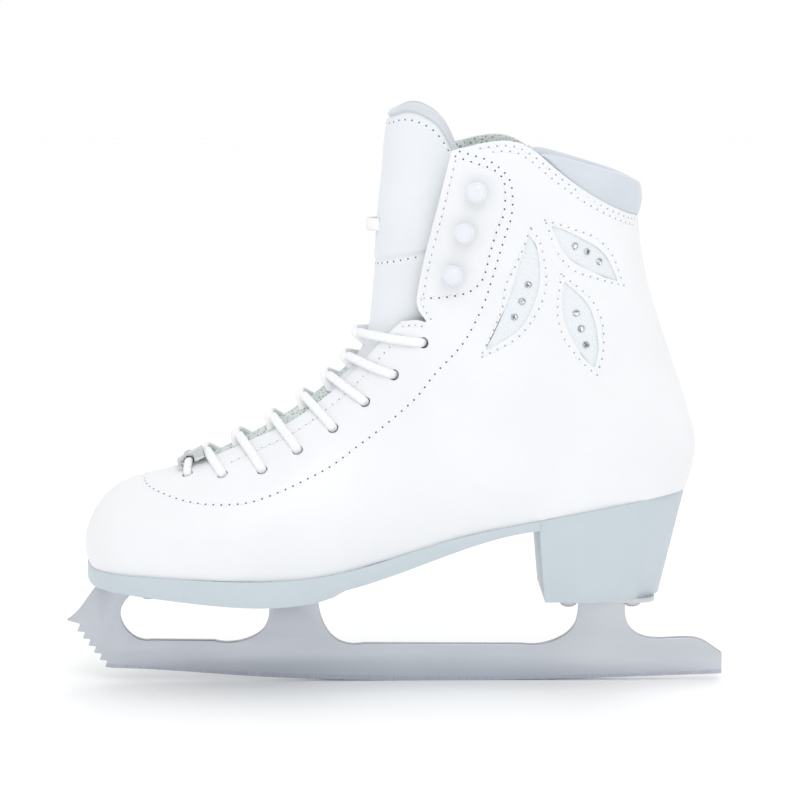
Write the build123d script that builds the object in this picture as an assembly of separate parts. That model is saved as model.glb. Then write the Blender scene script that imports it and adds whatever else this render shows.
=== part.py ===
from build123d import *
import math
import os

# A women's figure skate for the left foot: boot, laces and blade. Millimetres.
# X runs from toe (-) to heel (+), Y from the outer side (-) to the inner side (+), Z up from the blade's lowest point.

# ---------------------------------------------------------------- driving dimensions

BLADE_LENGTH = 290.4            # pick tip to tail
BLADE_THICKNESS = 4.0
ROCKER_RADIUS = 2134.0          # 7 ft rocker
LOWEST_X = 37.0                 # where the runner touches flat ice
PICK_TEETH = 6                  # below the drag pick
PLATE_THICKNESS = 2.0
TOE_X = -135.8                  # foremost point of the upper
BACK_X = 140.0                  # a plane clear of the back of the boot
LEATHER = 2.0                   # outer leather
INTERLINING = 1.4               # puff, counter, facings and padding
LINING = 1.2                    # knit mesh lining
INSERT_DEPTH = 0.9              # the leaf inserts sit this far under the leather's face
INSOLE_BOARD = 2.5
FOOTBED = 4.5
SHANK_THICKNESS = 1.6
WELT = 1.6                      # the sole stands this far outside the upper
EYELET_BARREL = 2.9             # outer radius of an eyelet's barrel
RIVET_RADIUS = 1.6              # of the rivet through each hook
LACE = 3.4                      # the oval lace taken as a round cord
PIVOT = (-9.0, 166.0)           # where the tongue folds, in X and Z
FOLD_GAP = 0.4                  # between the lower tongue and the part that folds
BAR_Z = 99.6                    # height of the lowest lace bar, over the end of the throat
HANK = (54.0, 114.0)            # the folded lace tails lie on the footbed between these X planes
HANK_Y = 11.0                   # how far each tail's hank lies from the middle
HANK_SLOPE = 9.5                # degrees, as the footbed rises to the heel
SECTION_POINTS = 28
SCREW_RADIUS = 2.0
FRONT_SCREWS = [(x, side * y) for x, y in ((-108.0, 17.0), (-67.0, 21.0), (-41.0, 15.0)) for side in (-1, 1)]
HEEL_SCREWS = [(x, side * 13.0) for x in (76.0, 104.0) for side in (-1, 1)]

# ---------------------------------------------------------------- the shape of the boot
# Fan sections from the toe to the cuff. Each one has a bottom or back point and a top or front point in the
# X-Z plane, outer and inner half widths, where along its height it is widest, and three roundness powers:
# across the crest, at the shoulder, and round the base.
SECTIONS = [
    ((TOE_X, 57.0), (TOE_X, 69.0), 9.0, 11.0, 0.50, 2.0, 2.0, 2.0),
    ((-133.0, 51.0), (-133.0, 76.2), 19.5, 22.0, 0.50, 2.0, 2.1, 2.1),
    ((-127.0, 42.0), (-127.0, 84.3), 29.0, 31.5, 0.55, 2.2, 2.3, 2.4),
    ((-117.0, 35.0), (-117.0, 90.4), 36.5, 39.0, 0.58, 2.2, 2.3, 2.5),
    ((-100.0, 31.0), (-100.0, 94.6), 42.5, 44.5, 0.58, 1.9, 2.1, 2.5),
    ((-85.0, 30.0), (-85.0, 100.0), 45.5, 46.8, 0.55, 1.7, 1.9, 2.5),
    ((-70.0, 29.0), (-70.0, 107.8), 47.0, 47.0, 0.53, 1.6, 1.8, 2.5),
    ((-38.0, 29.0), (-50.0, 118.8), 45.0, 42.5, 0.52, 1.6, 1.8, 2.4),
    ((0.0, 34.0), (-33.0, 131.0), 39.0, 37.0, 0.50, 1.6, 1.85, 2.0),
    ((45.0, 44.0), (-20.0, 143.0), 36.0, 35.0, 0.48, 1.75, 2.1, 2.0),
    ((88.0, 54.0), (-13.5, 154.5), 35.0, 34.5, 0.44, 2.1, 2.6, 2.2),
    ((119.0, 70.0), (-11.0, 165.0), 35.0, 35.0, 0.40, 2.3, 2.9, 2.2),
    ((132.0, 101.0), (-9.0, 175.0), 35.0, 35.0, 0.42, 2.4, 3.0, 2.1),
    ((128.7, 122.5), (-7.8, 186.0), 34.8, 34.8, 0.45, 2.4, 2.9, 2.1),
    ((119.5, 150.0), (-7.4, 200.0), 36.0, 36.0, 0.47, 2.4, 2.6, 2.1),
    ((110.5, 178.0), (-6.2, 215.0), 38.5, 38.5, 0.48, 2.4, 2.5, 2.2),
    ((106.2, 203.0), (-4.5, 230.0), 40.5, 40.5, 0.50, 2.4, 2.5, 2.3),
    ((106.0, 226.0), (-3.2, 246.0), 41.5, 41.5, 0.50, 2.4, 2.4, 2.3),
    ((106.5, 250.0), (-2.0, 266.0), 41.5, 41.5, 0.50, 2.4, 2.4, 2.3),
]
TOE_BLEND_X = -100.0            # layers of the upper close round the toe forward of this
THROAT_SECTION = 5              # the section where the throat starts
SHAFT_SECTION = 12              # the first section that is all shaft

# Where the upper meets the sole, and the underside of the sole, in X and Z.
FEATHER_LINE = [
    (-150.0, 54.3), (-124.0, 53.7), (-90.0, 53.1), (-52.0, 52.2), (-33.0, 53.4), (-19.0, 55.7), (2.0, 61.5),
    (27.0, 69.1), (47.0, 73.4), (76.0, 78.8), (111.0, 84.7), (BACK_X, 88.0),
]
TREAD_LINE = [(-150.0, 46.5), (-116.0, 45.4), (-81.0, 42.3), (-56.0, 40.9), (-34.0, 42.6)]
WAIST_LINE = [(-22.0, 47.3), (2.0, 54.2), (32.0, 65.1), (61.0, 72.0)]
HEEL_SEAT_Z = 40.0              # underside of the heel
HEEL_FRONT_X = 61.0             # where the heel starts, at the sole

# The edges of the leather in X and Z: the cuff, the hook flap's front, the step above the eyelet flap, the throat.
CUFF_LINE = [
    (105.9, 206.9), (96.0, 210.6), (82.3, 218.0), (69.0, 227.6), (59.6, 235.4), (50.0, 240.2), (37.8, 239.8),
    (23.4, 236.4),
]
FLAP_FRONT = [(23.4, 236.4), (18.6, 216.3), (11.5, 187.2), (8.7, 171.5)]
FLAP_STEP = [(8.7, 171.5), (12.9, 162.4), (2.7, 162.4)]
THROAT_EDGE = [
    (2.7, 162.4), (-4.2, 155.6), (-20.2, 137.4), (-32.8, 126.6), (-47.1, 116.9), (-64.1, 109.0), (-78.0, 102.6),
    (-87.0, 99.2),
]
COLLAR_TOP = [(106.0, 221.8), (98.0, 225.2), (76.0, 231.8), (57.0, 237.8)]

# Fastenings on each side, in X and Z.
EYELETS = [
    (-90.5, 94.9), (-74.9, 96.2), (-57.7, 98.9), (-42.5, 107.0), (-27.1, 116.1), (-13.3, 127.3), (-0.9, 139.3),
    (11.7, 153.5),
]
CROSSINGS = [
    (-80.5, 102.6), (-66.5, 109.6), (-51.5, 118.0), (-38.0, 127.4), (-27.0, 136.5), (-18.5, 145.5), (-13.6, 156.5),
]
HOOKS = [(25.1, 183.4), (29.6, 201.8), (34.3, 219.2)]

# Leaf cut-outs on the outer side: points round each leaf, tip to tip along one edge and back along the other.
LEAVES = [
    [(56.6, 200.7), (52.2, 187.0), (47.0, 170.4), (37.4, 150.0), (53.2, 160.5), (60.8, 177.6), (60.2, 193.6)],
    [(65.4, 205.0), (75.6, 200.8), (88.7, 192.6), (95.9, 179.7), (86.0, 183.6), (73.0, 191.2)],
    [(71.5, 181.0), (71.5, 165.3), (78.8, 149.9), (85.4, 142.6), (86.8, 153.6), (82.8, 169.4)],
]
CRYSTALS = [
    [(56.4, 179.2), (53.8, 171.9), (50.6, 165.2)],
    [(76.3, 195.7), (81.5, 193.1), (87.0, 188.8)],
    [(77.1, 166.8), (79.3, 160.0), (81.5, 153.0)],
]

# ---------------------------------------------------------------- helpers


def section_point(section, angle, grow):
    """A point of one fan section, by angle from the crest; grow moves the surface outwards."""
    low, high, outer, inner, widest, crest, shoulder, base = section
    length = math.hypot(high[0] - low[0], high[1] - low[1])
    along = ((high[0] - low[0]) / length, (high[1] - low[1]) / length)
    half = grow + (outer if math.sin(angle) < 0 else inner)
    cosine = abs(math.cos(angle))
    sine = abs(math.sin(angle))
    if math.cos(angle) >= 0:
        rise = ((1 - widest) * length + grow) * cosine ** (2 / shoulder)
        side = half * sine ** (2 / crest)
    else:
        rise = -(widest * length + grow) * cosine ** (2 / base)
        side = half * sine ** (2 / base)
    reach = widest * length + rise
    lean = max(0.0, (TOE_BLEND_X - low[0]) / (TOE_BLEND_X - TOE_X))
    x = low[0] + along[0] * reach - grow * lean
    z = low[1] + along[1] * reach
    return (x, math.copysign(side, math.sin(angle)), z)


def boot_volume(grow, first=0):
    """The closed boot shape from one section up to the cuff, offset by grow."""
    rings = []
    for section in SECTIONS[first:]:
        angles = [2 * math.pi * index / SECTION_POINTS for index in range(SECTION_POINTS)]
        points = [section_point(section, angle, grow) for angle in angles]
        rings.append(Wire([Edge.make_spline([Vector(point) for point in points], periodic=True)]))
    return Solid.make_loft(rings)


def flat_points(points, rise=0.0):
    return [Vector(x, 0, z + rise) for x, z in points]


def curve(points, rise=0.0):
    """A smooth curve through points given in X and Z."""
    return [Edge.make_spline(flat_points(points, rise))]


def lines(points, rise=0.0):
    """Straight edges through points given in X and Z."""
    corners = flat_points(points, rise)
    return [Edge.make_line(start, end) for start, end in zip(corners, corners[1:])]


def prism(edges, low_y=-70.0, high_y=70.0):
    """A closed outline in the X-Z plane, extruded along Y."""
    face = Face(Wire(edges)).moved(Location((0, low_y, 0)))
    return Solid.extrude(face, Vector(0, high_y - low_y, 0))


def upper_profile(raise_bottom):
    """Side view of the upper: everything behind the throat and flap edges and under the cuff line."""
    feather_start = (FEATHER_LINE[0][0], FEATHER_LINE[0][1] + raise_bottom)
    feather_end = (FEATHER_LINE[-1][0], FEATHER_LINE[-1][1] + raise_bottom)
    throat_start = THROAT_EDGE[-1]
    edges = curve(FEATHER_LINE, raise_bottom)
    edges += lines([feather_end, (BACK_X, CUFF_LINE[0][1]), CUFF_LINE[0]])
    edges += curve(CUFF_LINE)
    edges += curve(FLAP_FRONT)
    edges += lines(FLAP_STEP)
    edges += curve(THROAT_EDGE)
    edges += lines([throat_start, (throat_start[0], 140.0), (feather_start[0], 140.0), feather_start])
    return prism(edges)


def below(line, depth, front_x, back_x):
    """A slab under a line of the X-Z plane, between two X planes."""
    top = curve(line)
    bottom = curve(line, -depth)
    start = [line[0], (line[0][0], line[0][1] - depth)]
    end = [line[-1], (line[-1][0], line[-1][1] - depth)]
    slab = prism(top + lines(end) + bottom + lines(start))
    return slab & box_between(front_x, back_x, -70, 70, 0, 300)


def box_between(x0, x1, y0, y1, z0, z1):
    return Pos((x0 + x1) / 2, (y0 + y1) / 2, (z0 + z1) / 2) * Box(x1 - x0, y1 - y0, z1 - z0)


def line_height(line, x):
    """Height of a line of the X-Z plane at x, taken straight between its points."""
    for (x0, z0), (x1, z1) in zip(line, line[1:]):
        if x0 <= x <= x1:
            return z0 + (z1 - z0) * (x - x0) / (x1 - x0)
    raise ValueError("x is off the line")


def surface_spot(volume, x, z, side):
    """The point of the boot's outer surface at x and z on one side (-1 outer, 1 inner), and its normal."""
    ray = Axis((x, side * 100, z), (0, -side, 0))
    spots = volume.find_intersection_points(ray)
    point, normal = min(spots, key=lambda spot: abs(spot[0].Y - side * 100))
    if normal.Y * side < 0:
        normal = -normal
    return point, normal


def place_on(spot, shape):
    """Stand a shape built up its own Z axis on a surface spot."""
    point, normal = spot
    return Plane(origin=point, x_dir=Vector(normal.Z, 0, -normal.X), z_dir=normal) * shape


def turned(profile):
    """A solid of revolution about Z from (radius, height) corners."""
    corners = [Vector(radius, 0, height) for radius, height in profile]
    edges = [Edge.make_line(a, b) for a, b in zip(corners, corners[1:] + corners[:1])]
    return revolve(Face(Wire(edges)), Axis.Z)


def as_solids(shape):
    """A compound of a shape's solids, leaving out the specks that a cut can leave."""
    keep = [solid for solid in shape.solids() if solid.volume > 1.0]
    return Compound(keep) if len(keep) > 1 else keep[0]


def save(name, shape):
    shape = as_solids(shape) if not isinstance(shape, list) else Compound(shape)
    shape.label = name
    export_step(shape, f"parts/{name}.step")


# ---------------------------------------------------------------- the blade


def runner():
    """Blade: picks, rocker, two windows and the tail, with the posts running up into the plates."""
    half = BLADE_LENGTH / 2
    drag_pick = (-half, 27.7)
    front_edge = [(-127.0, 47.0), (-133.0, 41.8), (-138.6, 34.0), drag_pick]
    first_tip = (-140.7, 22.7)
    last_tip = (-128.5, 6.6)
    tooth_gap = (3.4, -0.4)
    teeth = [drag_pick, (-139.4, 26.0)]
    for index in range(PICK_TEETH):
        share = index / (PICK_TEETH - 1)
        tip_x = first_tip[0] + share * (last_tip[0] - first_tip[0])
        tip_z = first_tip[1] + share * (last_tip[1] - first_tip[1])
        teeth += [(tip_x, tip_z), (tip_x + tooth_gap[0], tip_z + tooth_gap[1])]
    toe_of_rocker = teeth[-1]

    def rocker(x):
        return (x - LOWEST_X) ** 2 / (2 * ROCKER_RADIUS)

    edge = [toe_of_rocker, (-105.0, 5.3)] + [(x, rocker(x)) for x in (-71.0, LOWEST_X, half)]
    tail = [(half, rocker(half)), (half, 12.0), (138.2, 16.9)]
    tail_top = [(138.2, 16.9), (116.0, 18.6), (109.0, 20.0), (104.0, 24.0), (102.0, 36.0), (102.0, 47.0)]
    top = [(102.0, 47.0), (-127.0, 47.0)]
    blade = prism(
        curve(front_edge) + lines(teeth) + curve(edge) + lines(tail) + curve(tail_top) + lines(top),
        -BLADE_THICKNESS / 2, BLADE_THICKNESS / 2,
    )
    front_window = [(-107.0, 48.0), (-115.5, 40.6), (-121.6, 31.0), (-118.0, 22.4), (-108.0, 18.7)]
    front_window_end = [(-80.0, 18.4), (-65.3, 19.1), (-58.0, 24.0), (-55.6, 36.0), (-55.6, 48.0)]
    rear_window = [(-33.9, 50.0), (-33.9, 34.0), (-29.0, 21.5), (-14.0, 16.8)]
    rear_window_end = [(57.0, 16.3), (71.5, 18.3), (79.0, 24.0), (81.4, 36.0), (81.4, 50.0)]
    for start, finish in ((front_window, front_window_end), (rear_window, rear_window_end)):
        floor = lines([start[-1], finish[0]])
        roof = lines([finish[-1], start[0]])
        blade -= prism(curve(start) + floor + curve(finish) + roof, -5, 5)
    return blade - plates_and_above()


def plates_and_above():
    """Everything above the undersides of the two plates."""
    under = [(x, z - PLATE_THICKNESS) for x, z in TREAD_LINE]
    front = prism(curve(under) + lines([under[-1], (under[-1][0], 60), (under[0][0], 60), under[0]]), -5, 5)
    rear = box_between(-33.0, 130.0, -5, 5, HEEL_SEAT_Z - PLATE_THICKNESS, 90.0)
    return front + rear


def front_plate():
    """Mounting plate under the ball of the foot, bent to the sole."""
    corners = [(-124, -14), (-110, -24), (-72, -28), (-40, -22), (-30, -14)]
    edge = [Vector(x, y, 0) for x, y in corners]
    other = [Vector(x, -y, 0) for x, y in reversed(corners)]
    outline = Wire([
        Edge.make_spline(edge), Edge.make_line(edge[-1], other[0]),
        Edge.make_spline(other), Edge.make_line(other[-1], edge[0]),
    ])
    plan = Solid.extrude(Face(outline), Vector(0, 0, 60))
    return plan & below(TREAD_LINE, PLATE_THICKNESS, -130, -29) - screw_set(FRONT_SCREWS, True)


def heel_plate():
    """Mounting plate under the heel."""
    plate = Pos(91, 0, HEEL_SEAT_Z - PLATE_THICKNESS / 2) * Box(46, 40, PLATE_THICKNESS)
    plate = fillet(plate.edges().filter_by(Axis.Z), 9)
    return plate - screw_set(HEEL_SCREWS, False)


def tread_height(x):
    return line_height(TREAD_LINE + WAIST_LINE[:1], x)


def screw_solids(places, follows_tread):
    """Pan head screws: the heads bear on a plate from below and the shanks run up into the sole."""
    pan = turned([(0, 0), (2.2, 0), (3.4, 0.7), (3.9, 1.6), (3.9, 2.2), (SCREW_RADIUS, 2.2), (SCREW_RADIUS, 10.5),
                  (1.0, 12.0), (0, 12.0)])
    screws = []
    for x, y in places:
        seat = tread_height(x) if follows_tread else HEEL_SEAT_Z
        screws.append(Pos(x, y, seat - PLATE_THICKNESS - 2.4) * pan)
    return screws


def screw_set(places, follows_tread):
    return Compound([solid for screw in screw_solids(places, follows_tread) for solid in screw.solids()])


# ---------------------------------------------------------------- the sole


def feather_outline(grow):
    """Plan outline of the upper where it meets the sole, as points round the foot."""
    outer_side = []
    inner_side = []
    for section in SECTIONS[1:12]:
        low, high, outer, inner, widest, _, _, base = section
        length = math.hypot(high[0] - low[0], high[1] - low[1])
        along = ((high[0] - low[0]) / length, (high[1] - low[1]) / length)
        reach = 0.0
        while low[1] + along[1] * reach < line_height(FEATHER_LINE, low[0] + along[0] * reach):
            reach += 0.1
        belly = max(0.0, 1 - reach / (widest * length))
        share = (1 - belly ** base) ** (1 / base)
        x = low[0] + along[0] * reach
        outer_side.append((x, -(outer * share + grow)))
        inner_side.append((x, inner * share + grow))
    toe = (TOE_X + 1.5 - grow, 1.5)
    heel = (127.0 + grow * 0.5, 0.0)
    return [toe] + outer_side + [(119.0, -17.0), heel, (119.0, 17.0)] + inner_side[::-1]


def sole_plan():
    points = [Vector(x, y, 0) for x, y in feather_outline(WELT)]
    return Solid.extrude(Face(Wire([Edge.make_spline(points, periodic=True)])), Vector(0, 0, 120))


def heel_ring(front_x, back_x, narrow, z):
    """Outline of the heel at one height: the feather outline behind the waist, moved and narrowed."""
    points = [point for point in feather_outline(WELT) if point[0] > HEEL_FRONT_X]
    back = max(x for x, _ in points)
    stretch = (back_x - front_x) / (back - HEEL_FRONT_X)
    width = abs(points[0][1])
    ring = [(front_x, -width * narrow)]
    ring += [(front_x + (x - HEEL_FRONT_X) * stretch, y * narrow) for x, y in points]
    ring += [(front_x, width * narrow)]
    edge = [Vector(x, y, z) for x, y in ring]
    return Wire([Edge.make_spline(edge), Edge.make_line(edge[-1], edge[0])])


def sole_unit():
    """Sole and heel in one moulding, with a pocket for the shank and the screws' own holes."""
    start = TREAD_LINE[0]
    end = WAIST_LINE[-1]
    step = [TREAD_LINE[-1], (-27.0, 44.6), WAIST_LINE[0]]
    edges = curve(FEATHER_LINE) + lines([FEATHER_LINE[-1], (BACK_X, 72.0), end])
    edges += curve(WAIST_LINE) + lines(step) + curve(TREAD_LINE) + lines([start, FEATHER_LINE[0]])
    sole = sole_plan() & prism(edges) & box_between(-140, HEEL_FRONT_X + 1.0, -70, 70, 0, 200)
    heel = Solid.make_loft([heel_ring(64.8, 116.6, 0.87, HEEL_SEAT_Z), heel_ring(60.8, 128.2, 1.0, 88.0)], True)
    heel &= below(FEATHER_LINE, 60, 50, BACK_X)
    unit = sole + heel
    return unit - shank() - screw_set(FRONT_SCREWS, True) - screw_set(HEEL_SCREWS, False)


def shank():
    """Spring steel strip under the insole board, along the waist."""
    return below(FEATHER_LINE, SHANK_THICKNESS, -36, 70) & box_between(-36, 70, -7, 7, 0, 200)


def above_feather(depth, lift):
    """A slab that follows the feather line, from lift to lift + depth above it."""
    raised = [(x, z + lift + depth) for x, z in FEATHER_LINE]
    return below(raised, depth, -150, BACK_X)


# ---------------------------------------------------------------- the upper


def leaf_prism(points, grow):
    """A leaf outline pushed through the outer wall of the boot; grow widens it."""
    tip = max(points, key=lambda point: math.hypot(point[0] - points[0][0], point[1] - points[0][1]))
    turn = points.index(tip)
    one_edge = points[:turn + 1]
    other_edge = points[turn:] + points[:1]
    if grow:
        middle_x = sum(x for x, _ in points) / len(points)
        middle_z = sum(z for _, z in points) / len(points)

        def widen(point):
            away = math.hypot(point[0] - middle_x, point[1] - middle_z)
            scale = 1 + grow / away
            return (middle_x + (point[0] - middle_x) * scale, middle_z + (point[1] - middle_z) * scale)

        one_edge = [widen(point) for point in one_edge]
        other_edge = [widen(point) for point in other_edge]
    return prism(curve(one_edge) + curve(other_edge), -60, -5)


def eyelet_solid():
    """A flanged eyelet set through the leather and its facing."""
    through = LEATHER + INTERLINING
    return turned([(2.3, 0.7), (3.7, 0.7), (4.2, 0.1), (4.2, 0.0), (EYELET_BARREL, 0.0),
                   (EYELET_BARREL, -through - 0.3), (2.3, -through - 0.3)])


def hook_body():
    """Hook: washer on the leather, an offset neck that the lace goes behind, and the rivet through the flap."""
    through = LEATHER + INTERLINING
    washer = turned([(0, 0), (4.3, 0), (4.3, 0.5), (3.6, 1.1), (0, 1.1)])
    neck = Pos(0.9, 0, 2.6) * Box(2.2, 4.4, 3.4)
    rivet = turned([(0, 0), (RIVET_RADIUS, 0), (RIVET_RADIUS, -through), (0, -through)])
    return washer + neck + rivet


def hook_cap():
    """Domed cap on the end of a hook."""
    return turned([(0, 4.3), (4.4, 4.3), (4.6, 5.0), (4.3, 5.9), (3.2, 6.8), (1.7, 7.2), (0, 7.3)])


def crystal_solid():
    """Faceted crystal: a six-sided table and crown on the insert."""
    base = Pos(0, 0, 0.1) * RegularPolygon(1.65, 8)
    top = Pos(0, 0, 0.9) * RegularPolygon(0.95, 8)
    return loft([base.face(), top.face()], ruled=True)


def upper(outer_volume, leather_inside, insert_face, layers_inside, lining_inside, spots):
    """The outer leather and every layer behind it."""
    plugs = []
    for side in (-1, 1):
        plugs += [place_on(spot, Pos(0, 0, -5) * Cylinder(EYELET_BARREL, 14)) for spot in spots["eyelets"][side]]
        plugs += [place_on(spot, Pos(0, 0, -2.5) * Cylinder(RIVET_RADIUS, 5.2)) for spot in spots["hooks"][side]]
    holes = Compound([solid for plug in plugs for solid in plug.solids()])
    leaves = [leaf_prism(points, 0) for points in LEAVES]

    whole = upper_profile(0.0)
    raised = upper_profile(INSOLE_BOARD)
    leather = (outer_volume - leather_inside) & whole
    for leaf in leaves:
        leather -= leaf
    save("upper_shell", leather - holes)

    for number, leaf in enumerate(leaves, 1):
        save(f"leaf_insert_{number}", (insert_face - leather_inside) & leaf)

    middle = ((leather_inside - layers_inside) & raised) - holes
    puff_zone = box_between(-140, -100, -60, 60, 0, 120)
    counter_zone = box_between(58, BACK_X, -60, 60, 60, 132)
    facing_edges = [(30.0, 250.0), (47.0, 232.0), (42.0, 190.0), (32.0, 168.0), (8.0, 133.0), (-22.0, 106.0),
                    (-60.0, 88.0), (-87.0, 86.0)]
    facing_zone = prism(curve(facing_edges) + lines([facing_edges[-1], (-99.0, 120.0), (-60.0, 250.0),
                                                     facing_edges[0]]))
    facing_zone -= box_between(-140, -86.9, -60, 60, 0, 300)
    save("toe_puff", middle & puff_zone)
    save("heel_counter", middle & counter_zone)
    facing = middle & facing_zone
    save("facing_lateral", facing & box_between(-140, 140, -60, -1, 0, 300))
    save("facing_medial", facing & box_between(-140, 140, 1, 60, 0, 300))
    padding_zone = box_between(-20, BACK_X, -60, 60, 95, 260)
    save("ankle_padding", (middle & padding_zone) - facing_zone - counter_zone)
    save("lining", ((layers_inside - lining_inside) & raised) - holes)


def collar(outside, inside):
    """Padded collar roll round the cuff, above the leather."""
    edges = curve([CUFF_LINE[index] for index in range(4, -1, -1)], 0.3)
    edges += lines([(CUFF_LINE[0][0], CUFF_LINE[0][1] + 0.3), (BACK_X, 207.2), (BACK_X, 221.8), COLLAR_TOP[0]])
    edges += curve(COLLAR_TOP)
    edges += lines([COLLAR_TOP[-1], (CUFF_LINE[4][0], CUFF_LINE[4][1] + 0.3)])
    return (outside - inside) & prism(edges)


# ---------------------------------------------------------------- the tongue

TONGUE_FRONT = [(166.2, -10.0), (176.0, -8.6), (190.0, -7.4), (212.0, -6.2), (232.0, -3.8), (262.0, -2.4)]
TONGUE_RADII = [19.8, 20.2, 22.4, 24.6, 25.6, 26.0]
TONGUE_WRAP = 9.0               # the tongue's sides reach this much further back than a half round
LAYER_GAP = 0.02                # glue line between the tongue's pad and the layers either side of it


def tongue_shell(outset, inset):
    """A rounded shell up the front of the shaft, between two depths under the tongue's face."""
    rings = []
    for (z, front_x), radius in zip(TONGUE_FRONT, TONGUE_RADII):
        edge_x = front_x + radius + TONGUE_WRAP
        far = radius - outset
        near = radius - inset
        tip_out = Vector(front_x + outset, 0, z)
        tip_in = Vector(front_x + inset, 0, z)
        outer_arc = Edge.make_three_point_arc(Vector(edge_x, -far, z), tip_out, Vector(edge_x, far, z))
        inner_arc = Edge.make_three_point_arc(Vector(edge_x, near, z), tip_in, Vector(edge_x, -near, z))
        sides = [
            Edge.make_line(Vector(edge_x, far, z), Vector(edge_x, near, z)),
            Edge.make_line(Vector(edge_x, -near, z), Vector(edge_x, -far, z)),
        ]
        rings.append(Wire([outer_arc, sides[0], inner_arc, sides[1]]))
    top = [(-14.0, 251.0), (-1.3, 254.6), (4.0, 256.0), (10.0, 255.2), (18.0, 250.5), (24.0, 242.0), (30.0, 229.0),
           (36.0, 213.0)]
    keep = prism(curve(top) + lines([top[-1], (46.0, 160.0), (-14.0, 160.0), top[0]]))
    return Solid.make_loft(rings) & keep


def lower_tongue(outside, inside):
    """The part of the tongue that the lacing holds, up to the fold."""
    under = [(-86.0, 82.0), (-60.0, 92.0), (-33.0, 108.0), (-15.0, 125.0), (5.0, 148.0), (26.0, 160.0)]
    top_z = PIVOT[1] - FOLD_GAP
    edges = curve(under) + lines([under[-1], (26.0, top_z), (-40.0, top_z), (-86.0, 120.0), under[0]])
    return (outside - inside) & prism(edges, -19.5, 19.5)


def lace_keeper():
    """Small webbing loop on the tongue's face."""
    loop = Pos(-7.6, 0, 203.0) * Rot(0, -2, 0) * Box(3.6, 9.0, 5.0)
    opening = Pos(-7.6, 0, 203.0) * Rot(0, -2, 0) * Box(1.6, 6.0, 9.0)
    return loop - opening - tongue_shell(0.0, 8.0)


# ---------------------------------------------------------------- lacing


def crossing_spot(index):
    """Where the strands cross over the throat, and the direction straight out of the throat there."""
    x, z = CROSSINGS[index]
    before = CROSSINGS[max(index - 1, 0)]
    after = CROSSINGS[min(index + 1, len(CROSSINGS) - 1)]
    out = Vector(before[1] - after[1], 0, after[0] - before[0]).normalized()
    return Vector(x, 0, z), out


def lace_strand(spots, start_side, over):
    """One strand: from the inside of each eyelet, under that flap, over the throat and into the next one up."""
    points = []
    side = start_side
    sink = LEATHER + INTERLINING + LINING + LACE * 0.62
    for index in range(len(EYELETS) - 1):
        here, normal = spots["eyelets"][side][index]
        there, next_normal = spots["eyelets"][-side][index + 1]
        centre, out = crossing_spot(index)
        crest = centre + out * (1.2 + (LACE + 0.2 if over[index] else 0))
        edge_low = centre + (here - centre) * 0.36 - out * 3.6
        edge_high = centre + (there - centre) * 0.46 + out * 2.6
        if index:
            points.append(here - normal * sink)
        points += [edge_low, crest, edge_high, there + next_normal * (LACE * 0.62)]
        side = -side
    last, normal = spots["eyelets"][side][-1]
    points.append(last - normal * (sink + 0.5))
    return points


def corner_radii(points):
    """The largest arc that each corner's two runs allow."""
    radii = []
    for before, corner, after in zip(points, points[1:], points[2:]):
        into = corner - before
        out = after - corner
        turn = math.radians(into.get_angle(out))
        radii.append(0.45 * min(into.length, out.length) / math.tan(turn / 2))
    return radii


def cord_tube(name, points):
    """A round cord along straight runs joined by arcs."""
    radii = corner_radii(points)
    path = FilletPolyline(*points, radius=radii)
    start = Plane(origin=path @ 0, z_dir=path % 0)
    tube = sweep(start * Circle(LACE / 2).face(), path=path.wire())
    expected = math.pi * LACE ** 2 / 4 * path.wire().length
    print(name, "radii", [round(radius, 1) for radius in radii], "volume share", round(tube.volume / expected, 3))
    return tube


def lowest_bar(spots):
    """The first lace bar: up out of the lowest eyelets and straight across the end of the throat."""
    ends = []
    for side in (-1, 1):
        spot, normal = spots["eyelets"][side][0]
        ends.append((spot - normal * (LEATHER + 2.0), spot + normal * (LACE * 0.5)))
    x = EYELETS[0][0]
    middle = [Vector(x, -12.0, BAR_Z), Vector(x, 12.0, BAR_Z)]
    return [ends[0][0], ends[0][1], middle[0], middle[1], ends[1][1], ends[1][0]]


def tail_route(side):
    """A free lace tail: from the top eyelet down inside the boot and back along the footbed to its hank."""
    return [
        Vector(15.0, side * 17.5, 149.0), Vector(18.0, side * 18.5, 134.0), Vector(20.0, side * 20.5, 114.0),
        Vector(28.0, side * 21.5, 96.0), Vector(41.0, side * 19.5, 87.0), Vector(HANK[0], side * 17.5, 86.2),
    ]


def on_hank(side, rise, shape):
    """Lay a shape along a hank, raised off its middle."""
    middle = Pos((HANK[0] + HANK[1]) / 2, side * HANK_Y, 94.4) * Rot(0, -HANK_SLOPE, 0)
    return middle * Pos(0, 0, rise) * shape


def hank_solid(side):
    """Outer shape of a folded tail, lying along the footbed: three turns of lace on each other."""
    body = Box(HANK[1] - HANK[0], 17.6, 3 * LACE + 0.4)
    body = fillet(body.edges().filter_by(Axis.X), 3.0)
    return on_hank(side, 0.0, body)


def aglet_solid(side):
    """Clear sleeve on the end of a tail, lying on its hank."""
    return on_hank(side, 7.2, Pos(8.0, 0, 0) * Rot(0, 90, 0) * Cylinder(LACE / 2, 16))


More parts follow.
